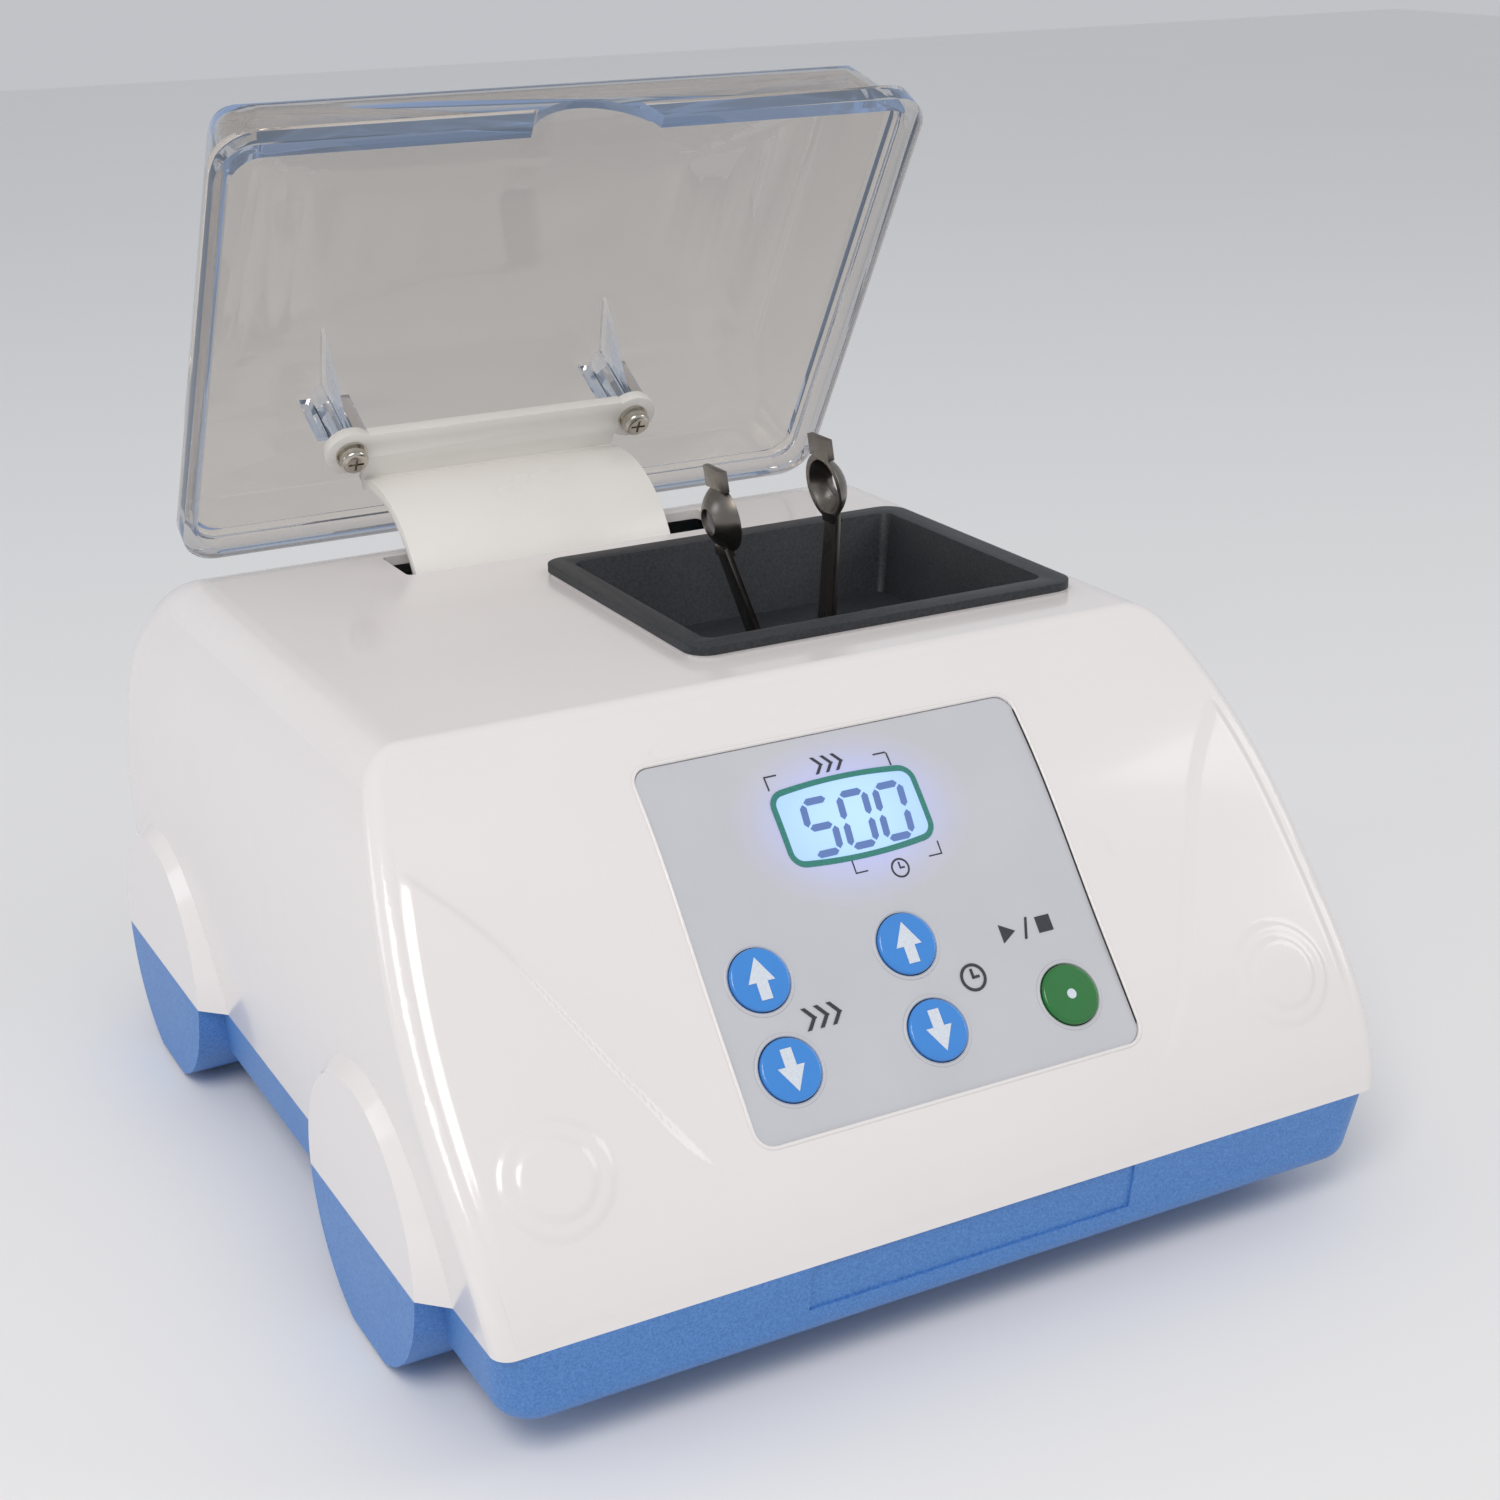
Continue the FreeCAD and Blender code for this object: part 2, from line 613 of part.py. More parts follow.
# ---- key panel --------------------------------------------------------------------------
def keypad_overlay():
    sheet = panel_prism(0).common(behind_face(OVERLAY_TOP))
    sheet = sheet.cut(behind_face(OVERLAY_TOP + OVERLAY_T))
    for name in KEYS:
        sheet = sheet.cut(key_rod(name, KEY_DIA / 2 + KEY_GAP, -8, 4))
    return sheet.cut(display_prism(0.1, 0.1, -10, 4))


def board_depth(x, z):
    """Depth of the control board's face below the front face, along the normal there."""
    point, normal = front_point(z)
    middle, panel_normal, _, _ = panel_frame()
    board = middle - panel_normal * BOARD_BEHIND
    return (point - board).dot(panel_normal) / normal.dot(panel_normal)


def key(name):
    """Domed cap with a retaining flange and the actuator of its switch."""
    top = KEY_PROUD - OVERLAY_TOP
    cap = key_rod(name, KEY_DIA / 2, -WALL - 0.4, top)
    crown = max(cap.Edges, key=lambda e: e.CenterOfMass.z if len(e.Vertexes) == 1 else -1)
    cap = cap.makeFillet(0.7, [crown])
    flange = key_rod(name, KEY_DIA / 2 + 1.2, -WALL - 1.3, -WALL - 0.3)
    reach = board_depth(*KEYS[name]) - SWITCH_T - KEY_TRAVEL - 0.25
    stem = key_rod(name, 2.0, -reach, -WALL - 0.8)
    return cap.fuse([flange, stem]).removeSplitter()


def display_lens():
    return display_prism(0, 0, -OVERLAY_TOP - LENS_T, -OVERLAY_TOP)


def display_module():
    return display_prism(3.0, 2.0, -WALL - 0.4 - MODULE_T, -WALL - 0.4)


def board_switch_place(name):
    """A key's place on the control board, in the panel's flat frame."""
    x, z = KEYS[name]
    point, normal = front_point(z)
    middle, _, up, _ = panel_frame()
    spot = point - normal * board_depth(x, z) - middle
    return x - middle.x, spot.dot(up)


def control_board():
    board = slab(-BOARD_HALF_X, BOARD_HALF_X, -BOARD_HALF_Y, BOARD_HALF_Y,
                 -BOARD_BEHIND - BOARD_T, -BOARD_BEHIND, 2.0)
    for x, y in BOARD_POSTS:
        board = board.cut(rod_z(x, y, -20, 0, 1.6))
    return on_panel(board)


def tact_switches():
    bodies = []
    for name in KEYS:
        x, y = board_switch_place(name)
        bodies.append(on_panel(box(x - 3, x + 3, y - 3, y + 3,
                                   -BOARD_BEHIND, -BOARD_BEHIND + SWITCH_T)))
    return Part.makeCompound(bodies)


def board_screws():
    low = -BOARD_BEHIND - BOARD_T
    return Part.makeCompound([
        on_panel(pan_screw(vec(x, y, low + 7), -Z_DIR, 1.25, 7, 2.4, 1.6))
        for x, y in BOARD_POSTS])


# ---- tray -------------------------------------------------------------------------------
def tray_loft(inward, top_z, low_inward, low_z):
    def ring(amount, z):
        radius = max(TRAY_CORNER_R - amount / 2, 2.0)
        return rounded_rect(TRAY_X[0] + amount, TRAY_X[1] - amount,
                            TRAY_Y[0] + amount, TRAY_Y[1] - amount, z, radius)
    return Part.makeLoft([ring(low_inward, low_z), ring(inward, top_z)], True, True)


def fork_slot():
    half_x, half_y = FORK_SLOT_HALF
    return slab(PIVOT_X - half_x, PIVOT_X + half_x, SHAFT_Y - half_y, SHAFT_Y + half_y,
                WELL_Z - 10, WELL_Z + 10, 3.0)


def mixing_tray():
    wall_in = TRAY_RIM_W
    ledge_in = TRAY_RIM_W + TRAY_DRAFT
    well_in = ledge_in + TRAY_LEDGE_W
    rim_z = TRAY_TOP_Z - TRAY_RIM_T
    rim = tray_outline(0, rim_z, TRAY_TOP_Z)
    bowl = tray_loft(wall_in, rim_z, ledge_in, LEDGE_Z - TRAY_WALL)
    well = tray_loft(well_in, LEDGE_Z - TRAY_WALL / 2, well_in + 2, WELL_Z - TRAY_WALL)
    solid = union([rim, bowl, well])
    space = tray_loft(wall_in + TRAY_WALL, TRAY_TOP_Z + 0.01, ledge_in + TRAY_WALL, LEDGE_Z)
    pit = tray_loft(well_in + TRAY_WALL, LEDGE_Z + 0.01, well_in + 2 + TRAY_WALL, WELL_Z)
    return solid.cut(space).cut(pit).cut(fork_slot()).removeSplitter()


# ---- lid --------------------------------------------------------------------------------
def lid_side_outline():
    """Side view of the shut lid: steep front, crowned roof, sloping back."""
    front_top = vec(0, 12.0, LID_FRONT_H + 2.5)
    front_low = vec(0, 2.8, LID_FRONT_H - 7.0)
    bend = vec(0, 5.2, LID_FRONT_H - 1.4)
    back = vec(0, LID_LENGTH - 2.5, LID_REAR_H)
    roof = spline([front_top, vec(0, 42, LID_CROWN_H - 1.2), vec(0, 72, LID_CROWN_H),
                   vec(0, 103, LID_CROWN_H - 7.5), back])
    corners = [vec(0, LID_LENGTH, LID_REAR_H - 3), vec(0, LID_LENGTH, 0), vec(0, 0, 0)]
    return Part.Wire([line(corners[2], front_low), Part.Arc(front_low, bend, front_top).toShape(),
                      roof, line(back, corners[0]), line(corners[0], corners[1]),
                      line(corners[1], corners[2])])


def lid_cross_outline():
    """Front view of the shut lid's roof, wider than the walls at its foot."""
    shoulder = vec(LID_WIDTH / 2 - 14.0, 0, LID_CROWN_H - 6.0)
    flank = vec(LID_WIDTH / 2 - 3.6, 0, LID_CROWN_H - 17.0)
    bend = vec(LID_WIDTH / 2 - 6.6, 0, LID_CROWN_H - 10.5)
    roof = spline([shoulder, vec(45, 0, LID_CROWN_H - 0.9), vec(0, 0, LID_CROWN_H),
                   vec(-45, 0, LID_CROWN_H - 0.9), vec(-shoulder.x, 0, shoulder.z)])
    left_bend = vec(-bend.x, 0, bend.z)
    left_flank = vec(-flank.x, 0, flank.z)
    foot = vec(flank.x, 0, 0)
    left_foot = vec(-flank.x, 0, 0)
    return Part.Wire([Part.Arc(flank, bend, shoulder).toShape(), roof,
                      Part.Arc(vec(-shoulder.x, 0, shoulder.z), left_bend, left_flank).toShape(),
                      line(left_flank, left_foot), line(left_foot, foot), line(foot, flank)])


def lid_walls(depth):
    """Tapered block with round upright corners, taken in by depth."""
    half = LID_WIDTH / 2 - LID_BAND_OUT - depth
    front = LID_BAND_OUT + depth
    back = LID_LENGTH - LID_BAND_OUT - depth
    lean = LID_SIDE_DRAFT * 2
    corner = 10.0 - depth
    low = rounded_rect(-half, half, front, back, 0, corner)
    high = rounded_rect(-half + lean, half - lean, front + lean / 2, back - 2, 50, corner)
    return Part.makeLoft([low, high], True, True)


def lid_form(depth):
    side = Part.Face(inset(lid_side_outline(), depth))
    side.translate(vec(-FAR / 2, 0, 0))
    cross = Part.Face(inset(lid_cross_outline(), depth))
    cross.translate(vec(0, -FAR / 2, 0))
    roof = side.extrude(vec(FAR, 0, 0)).common(cross.extrude(vec(0, FAR, 0)))
    return roof.common(lid_walls(depth))


def shut(shape):
    """From the lid's own frame (rim plane at Z = 0) to its shut place."""
    placed = shape.copy()
    placed.translate(vec(0, LID_CLOSED_Y, RIM_Z))
    return placed


def opened(shape):
    return turned(shape, HINGE, X_DIR, -LID_OPEN_DEG)


def lid_cover():
    outside = lid_form(0)
    band = slab(-LID_WIDTH / 2, LID_WIDTH / 2, 0, LID_LENGTH, 0, LID_BAND_H, 10.0)
    inner = lid_form(LID_WALL)
    mouth_half = LID_WIDTH / 2 - LID_BAND_OUT - LID_WALL
    mouth = slab(-mouth_half, mouth_half, LID_BAND_OUT + LID_WALL,
                 LID_LENGTH - LID_BAND_OUT - LID_WALL, -1, LID_WALL + 1, 10.0 - LID_WALL)
    cover = outside.fuse(band).cut(band_core()).cut(inner).cut(mouth)
    posts = []
    for x in EARS_X:
        posts.append(rod_z(x, EAR_ALONG, EAR_DEPTH, LID_CROWN_H, LID_BOSS_R))
        posts.append(box(x - RIB_REACH, x + RIB_REACH, EAR_ALONG - RIB_T / 2, EAR_ALONG + RIB_T / 2,
                         EAR_DEPTH + 4, LID_CROWN_H))
        rib = polygon([vec(x - RIB_T / 2, EAR_ALONG + RIB_REACH, EAR_DEPTH + 4),
                       vec(x - RIB_T / 2, EAR_ALONG - 3, EAR_DEPTH + 1),
                       vec(x - RIB_T / 2, EAR_ALONG - RIB_LENGTH, LID_CROWN_H),
                       vec(x - RIB_T / 2, EAR_ALONG + RIB_REACH, LID_CROWN_H)])
        posts.append(rib.extrude(vec(RIB_T, 0, 0)))
    cover = cover.fuse(union(posts).common(lid_form(LID_WALL / 2)))
    for x in EARS_X:
        cover = cover.cut(rod_z(x, EAR_ALONG, 0, EAR_DEPTH + 12, SCREW4_R + RUN_GAP))
    notch_r = (NOTCH_W ** 2 / 4 + NOTCH_H ** 2) / (2 * NOTCH_H)
    notch = rod(vec(0, -5, NOTCH_H - notch_r), Y_DIR, notch_r, 20)
    return opened(shut(cover.cut(notch).removeSplitter()))


def band_core():
    """Space inside the rim band."""
    reach = LID_BAND_OUT + LID_WALL
    return slab(-LID_WIDTH / 2 + reach + 1, LID_WIDTH / 2 - reach - 1, reach + 1,
                LID_LENGTH - reach, -1, LID_BAND_H + 1, 7.0)


# ---- hinge ------------------------------------------------------------------------------
ARM_LOW_DEG = 200.0 + LID_OPEN_DEG                 # low end of the arm, with the lid shut


def sector(x0, x1, r0, r1, start_deg, end_deg):
    """Piece of a ring about the hinge axis; angles from +Y towards +Z."""
    def at(radius, degrees):
        angle = math.radians(degrees)
        return vec(x0, HINGE_Y + radius * math.cos(angle), HINGE_Z + radius * math.sin(angle))
    middle = (start_deg + end_deg) / 2
    outer = Part.Arc(at(r1, start_deg), at(r1, middle), at(r1, end_deg)).toShape()
    edges = [outer, line(at(r1, end_deg), at(r0, end_deg))]
    edges.append(Part.Arc(at(r0, end_deg), at(r0, middle), at(r0, start_deg)).toShape())
    edges.append(line(at(r0, start_deg), at(r1, start_deg)))
    return Part.Face(Part.Wire(edges)).extrude(vec(x1 - x0, 0, 0))


def hinge_arm():
    """Curved arm that rises through the slot, its flange and ears, and its hub."""
    plate = sector(*ARM_X, ARM_R - ARM_T, ARM_R, 137.0, ARM_LOW_DEG)
    flange = shut(box(*ARM_X, EAR_ALONG - 6, EAR_ALONG + 11.5, EAR_DEPTH - EAR_T, EAR_DEPTH))
    ears = [shut(rod_z(x, EAR_ALONG, EAR_DEPTH - EAR_T, EAR_DEPTH, EAR_R)) for x in EARS_X]
    cheeks = []
    for x in (ARM_X[0], ARM_X[1] - CHEEK_T):
        cheeks.append(sector(x, x + CHEEK_T, 2.0, ARM_R - 1, ARM_LOW_DEG - 32, ARM_LOW_DEG))
        cheeks.append(rod_x(x, x + CHEEK_T, HINGE_Y, HINGE_Z, HUB_R))
    arm = union([plate, flange] + ears + cheeks)
    arm = arm.cut(rod_x(*ARM_X, HINGE_Y, HINGE_Z, PIN_DIA / 2 + RUN_GAP))
    for x in EARS_X:
        arm = arm.cut(shut(rod_z(x, EAR_ALONG, 0, 20, SCREW4_R + 0.2)))
    arm = arm.cut(magnet_rod(0.05))
    return opened(arm.removeSplitter())


def magnet_place():
    """Height and depth of the magnet and of its sensor, with the lid shut."""
    angle = math.radians(ARM_LOW_DEG - 16)
    return HINGE_Y + MAGNET_RADIUS * math.cos(angle), HINGE_Z + MAGNET_RADIUS * math.sin(angle)


def magnet_rod(gap):
    """Magnet pocket in the left cheek, placed with the lid shut."""
    y, z = magnet_place()
    return rod_x(ARM_X[0] - gap, ARM_X[0] + MAGNET_T + gap, y, z, 3.0 + gap)


def lid_magnet():
    return opened(magnet_rod(0))


def lid_sensor():
    """Reed switch on the left bracket, where the magnet stands with the lid shut."""
    y, z = magnet_place()
    return box(BRACKET_X[0], BRACKET_X[0] + 3.0, y - 7, y + 7, z - 2.5, z + 2.5)


def lid_screws():
    return Part.makeCompound([
        opened(shut(pan_screw(vec(x, EAR_ALONG, EAR_DEPTH + 10), -Z_DIR, SCREW4_R,
                              10 + EAR_T + 1.8, 3.8, 2.4))) for x in EARS_X])


def lid_washers():
    rings = []
    for x in EARS_X:
        for low, high, outer in ((-0.8, 0, 4.3), (-1.75, -0.85, 3.6)):
            ring = rod_z(x, EAR_ALONG, EAR_DEPTH - EAR_T + low, EAR_DEPTH - EAR_T + high, outer)
            ring = ring.cut(rod_z(x, EAR_ALONG, -5, 10, SCREW4_R + 0.1))
            rings.append(opened(shut(ring)))
    return Part.makeCompound(rings)


def hinge_pin():
    reach = BRACKET_T + 1.5
    pin = rod_x(BRACKET_X[0] - reach, BRACKET_X[1] + reach, HINGE_Y, HINGE_Z, PIN_DIA / 2)
    head = rod_x(BRACKET_X[1] + BRACKET_T, BRACKET_X[1] + reach, HINGE_Y, HINGE_Z, PIN_DIA / 2 + 1.5)
    return pin.fuse(head).removeSplitter()


def hinge_spacers():
    """Tubes on the pin that hold the arm between the brackets."""
    tubes = []
    for x0, x1 in ((BRACKET_X[0], ARM_X[0] - 0.2), (ARM_X[1] + 0.2, BRACKET_X[1]),
                   (ARM_X[0] + CHEEK_T + 0.2, ARM_X[1] - CHEEK_T - 0.2)):
        tube = rod_x(x0, x1, HINGE_Y, HINGE_Z, PIN_DIA / 2 + 2)
        tubes.append(tube.cut(rod_x(x0 - 1, x1 + 1, HINGE_Y, HINGE_Z, PIN_DIA / 2)))
    return Part.makeCompound(tubes)


def hinge_brackets():
    """Two pressed plates, each hung from a pad under the top by its foot."""
    plates = []
    foot = BRACKET_FOOT_Z
    side_view = [(BRACKET_SCREW_Y - 8, foot), (BRACKET_SCREW_Y + 10, foot),
                 (HINGE_Y + 6, HINGE_Z + 5), (HINGE_Y + 7, HINGE_Z - 7),
                 (HINGE_Y - 7, HINGE_Z - 7), (BRACKET_SCREW_Y, foot - BRACKET_T),
                 (BRACKET_SCREW_Y - 8, foot - BRACKET_T)]
    for inner, side in ((BRACKET_X[0], -1), (BRACKET_X[1], 1)):
        outer = inner + side * BRACKET_T
        web = polygon([vec(min(inner, outer), y, z) for y, z in side_view])
        web = web.extrude(vec(BRACKET_T, 0, 0))
        tip = inner + side * 17
        step = box(min(inner, tip), max(inner, tip), BRACKET_SCREW_Y - 8, BRACKET_SCREW_Y + 8,
                   foot - BRACKET_T, foot)
        plate = web.fuse(step)
        plate = plate.cut(rod_x(-FAR, FAR, HINGE_Y, HINGE_Z, PIN_DIA / 2))
        for x, y in BRACKET_SCREWS:
            plate = plate.cut(rod_z(x, y, foot - 5, foot + 5, SCREW3_R + 0.2))
        plates.append(plate.removeSplitter())
    return Part.makeCompound(plates)


def bracket_screws():
    length = BRACKET_T + 5.5
    return Part.makeCompound([
        pan_screw(vec(x, y, BRACKET_FOOT_Z - BRACKET_T + length), -Z_DIR, SCREW3_R, length, 2.9, 2.0)
        for x, y in BRACKET_SCREWS])


# ---- motor ------------------------------------------------------------------------------
def on_shaft(x0, x1, radius):
    return rod_x(x0, x1, SHAFT_Y, SHAFT_Z, radius)


def motor_can():
    inner = MOTOR_DIA / 2 - MOTOR_WALL
    x0 = MOTOR_X[0] + CAP_T
    x1 = MOTOR_X[1] - CAP_T
    return on_shaft(x0, x1, MOTOR_DIA / 2).cut(on_shaft(x0 - 1, x1 + 1, inner))


def motor_end_caps():
    caps = []
    for x0, boss in ((MOTOR_X[0], -3.0), (MOTOR_X[1] - CAP_T, CAP_T + 3.0)):
        cap = on_shaft(x0, x0 + CAP_T, MOTOR_DIA / 2)
        cap = cap.fuse(on_shaft(min(x0, x0 + boss), max(x0, x0 + boss), CAP_BOSS_R))
        caps.append(cap.cut(on_shaft(x0 - 20, x0 + 20, BUSH_R)).removeSplitter())
    for dy, dz in MOTOR_BOLTS:
        hole = rod_x(MOTOR_X[1] - CAP_T, MOTOR_X[1] + 1, SHAFT_Y + dy, SHAFT_Z + dz, SCREW3_R)
        caps[1] = caps[1].cut(hole)
    return Part.makeCompound(caps)


def motor_bushes():
    rings = []
    for x0 in (MOTOR_X[0] - 2, MOTOR_X[1] - CAP_T):
        ring = on_shaft(x0, x0 + BUSH_LENGTH, BUSH_R)
        rings.append(ring.cut(on_shaft(x0 - 1, x0 + BUSH_LENGTH + 1, MOTOR_SHAFT_DIA / 2 + RUN_GAP)))
    return Part.makeCompound(rings)


def motor_magnets():
    """Two curved magnets inside the can."""
    outer = MOTOR_DIA / 2 - MOTOR_WALL
    x0 = MOTOR_X[0] + 14
    x1 = MOTOR_X[1] - 14
    ring = on_shaft(x0, x1, outer).cut(on_shaft(x0 - 1, x1 + 1, outer - 6))
    gap = box(x0 - 1, x1 + 1, SHAFT_Y - 9, SHAFT_Y + 9, SHAFT_Z - 40, SHAFT_Z + 40)
    return ring.cut(gap)


def motor_rotor():
    """Laminated armature with its commutator."""
    core = on_shaft(MOTOR_X[0] + 14, MOTOR_X[1] - 14, MOTOR_DIA / 2 - MOTOR_WALL - 7)
    for step in range(8):
        angle = math.radians(45 * step)
        y = SHAFT_Y + 14.6 * math.cos(angle)
        z = SHAFT_Z + 14.6 * math.sin(angle)
        core = core.cut(rod_x(MOTOR_X[0], MOTOR_X[1], y, z, 2.2))
    core = core.fuse(on_shaft(MOTOR_X[0] + 8, MOTOR_X[0] + 14, 6.0))
    return core.cut(on_shaft(MOTOR_X[0], MOTOR_X[1], MOTOR_SHAFT_DIA / 2)).removeSplitter()


def motor_shaft():
    return on_shaft(MOTOR_X[0] - 4, SHAFT_SPLIT - SHAFT_END_GAP, MOTOR_SHAFT_DIA / 2)


def drive_shaft():
    return on_shaft(SHAFT_SPLIT + SHAFT_END_GAP, UPRIGHT_X[1] + BEARING_W, SHAFT_DIA / 2)


def shaft_coupling():
    tube = on_shaft(*COUPLING_X, COUPLING_R)
    tube = tube.cut(on_shaft(COUPLING_X[0], SHAFT_SPLIT, MOTOR_SHAFT_DIA / 2))
    tube = tube.cut(on_shaft(SHAFT_SPLIT, COUPLING_X[1], SHAFT_DIA / 2))
    groove = on_shaft(SHAFT_SPLIT - 1, SHAFT_SPLIT + 1, COUPLING_R + 1).cut(
        on_shaft(SHAFT_SPLIT - 1, SHAFT_SPLIT + 1, COUPLING_R - 1.5))
    return tube.cut(groove).removeSplitter()


def motor_screws():
    length = FRAME_T + 5.0
    return Part.makeCompound([
        pan_screw(vec(MOTOR_X[1] - 3.0, SHAFT_Y + dy, SHAFT_Z + dz), X_DIR, SCREW3_R, length,
                  2.9, 2.0) for dy, dz in MOTOR_BOLTS])


# ---- shaker -----------------------------------------------------------------------------
def bearing_rings(inner, outer):
    rings = []
    for middle in UPRIGHT_X:
        x0 = middle - BEARING_W / 2
        x1 = middle + BEARING_W / 2
        rings.append(on_shaft(x0, x1, outer).cut(on_shaft(x0 - 1, x1 + 1, inner)))
    return Part.makeCompound(rings)


def bearing_inner_rings():
    return bearing_rings(SHAFT_DIA / 2, SHAFT_DIA / 2 + RACE_T)


def bearing_outer_rings():
    return bearing_rings(SHAFT_DIA / 2 + RACE_T + 0.1, BEARING_OD / 2)


def turned_about_shaft(half_width, inner_r, outer_r, inner_bulge, outer_bulge):
    """Ring about the shaft through the pivot; a bulge of None gives a straight wall."""
    x0 = PIVOT_X - half_width
    x1 = PIVOT_X + half_width

    def wall(radius, bulge):
        ends = [vec(x0, SHAFT_Y, SHAFT_Z + radius), vec(x1, SHAFT_Y, SHAFT_Z + radius)]
        if bulge is None:
            return line(*ends)
        return Part.Arc(ends[0], vec(PIVOT_X, SHAFT_Y, SHAFT_Z + bulge), ends[1]).toShape()

    inner = wall(inner_r, inner_bulge)
    outer = wall(outer_r, outer_bulge)
    sides = [line(inner.valueAt(p), outer.valueAt(q)) for p, q in
             zip(inner.ParameterRange, outer.ParameterRange)]
    face = Part.Face(Part.Wire(Part.__sortEdges__([inner, outer] + sides)))
    return face.revolve(PIVOT, X_DIR, 360)


def skew_hub():
    """Ball-shaped hub on the shaft that the wobble ring turns about."""
    edge_r = math.sqrt(BALL_R ** 2 - HUB_HALF ** 2)
    return turned_about_shaft(HUB_HALF, SHAFT_DIA / 2, edge_r, None, BALL_R)


def balance_weight():
    """Half disc that balances the fork."""
    x0 = UPRIGHT_X[0] + BEARING_W / 2 + 4
    disc = on_shaft(x0, x0 + 6, 14.0)
    half = box(x0 - 1, x0 + 7, SHAFT_Y - 20, SHAFT_Y + 20, SHAFT_Z + 6, SHAFT_Z + 20)
    return disc.cut(half).cut(on_shaft(x0 - 1, x0 + 7, SHAFT_DIA / 2))


def leaning(shape):
    return turned(shape, PIVOT, Y_DIR, LEAN_DEG)


def fork_box(x0, x1, half_y, r0, r1):
    """Box in the upright fork's frame: X from its middle line, radius from the shaft."""
    return box(PIVOT_X + x0, PIVOT_X + x1, SHAFT_Y - half_y, SHAFT_Y + half_y,
               SHAFT_Z + r0, SHAFT_Z + r1)


def fork_bolt_hole(radius):
    return rod_x(PIVOT_X - 30, PIVOT_X + 30, SHAFT_Y, SHAFT_Z + BOLT_RADIUS, radius)


def fork_carrier():
    """Ring with a block on top that carries both fork arms."""
    ring = on_shaft(PIVOT_X - RING_W / 2, PIVOT_X + RING_W / 2, RING_R)
    block = fork_box(-FORK_BLOCK_HALF, FORK_BLOCK_HALF, 5.0, RING_R - 2, FORK_BLOCK_TOP)
    socket = rod_z(PIVOT_X, SHAFT_Y, SHAFT_Z - RING_R - 1, SHAFT_Z - RING_R + 3, GUIDE_PIN_R)
    carrier = ring.fuse(block).cut(on_shaft(PIVOT_X - 20, PIVOT_X + 20, WOBBLE_R))
    return leaning(carrier.cut(socket).cut(fork_bolt_hole(SCREW3_R + 0.1)).removeSplitter())


def wobble_ring():
    """Bearing ring whose ball-shaped bore runs on the hub."""
    bore = BALL_R + RUN_GAP
    edge_r = math.sqrt(bore ** 2 - (RING_W / 2) ** 2)
    return leaning(turned_about_shaft(RING_W / 2, edge_r, WOBBLE_R, bore, None))


def guide_pin():
    """Pin that keeps the fork from turning with the shaft."""
    return leaning(rod_z(PIVOT_X, SHAFT_Y, SHAFT_Z - RING_R - 9, SHAFT_Z - RING_R + 3,
                         GUIDE_PIN_R))


def guide_block():
    top = SHAFT_Z - RING_R - 4
    block = box(PIVOT_X - 11, PIVOT_X + 11, SHAFT_Y - 8, SHAFT_Y + 8, FRAME_Z + FRAME_T, top)
    half = GUIDE_PIN_R + 0.1
    slot = box(PIVOT_X - 12, PIVOT_X + 12, SHAFT_Y - half, SHAFT_Y + half, FRAME_Z + 6, top + 1)
    return block.cut(slot)


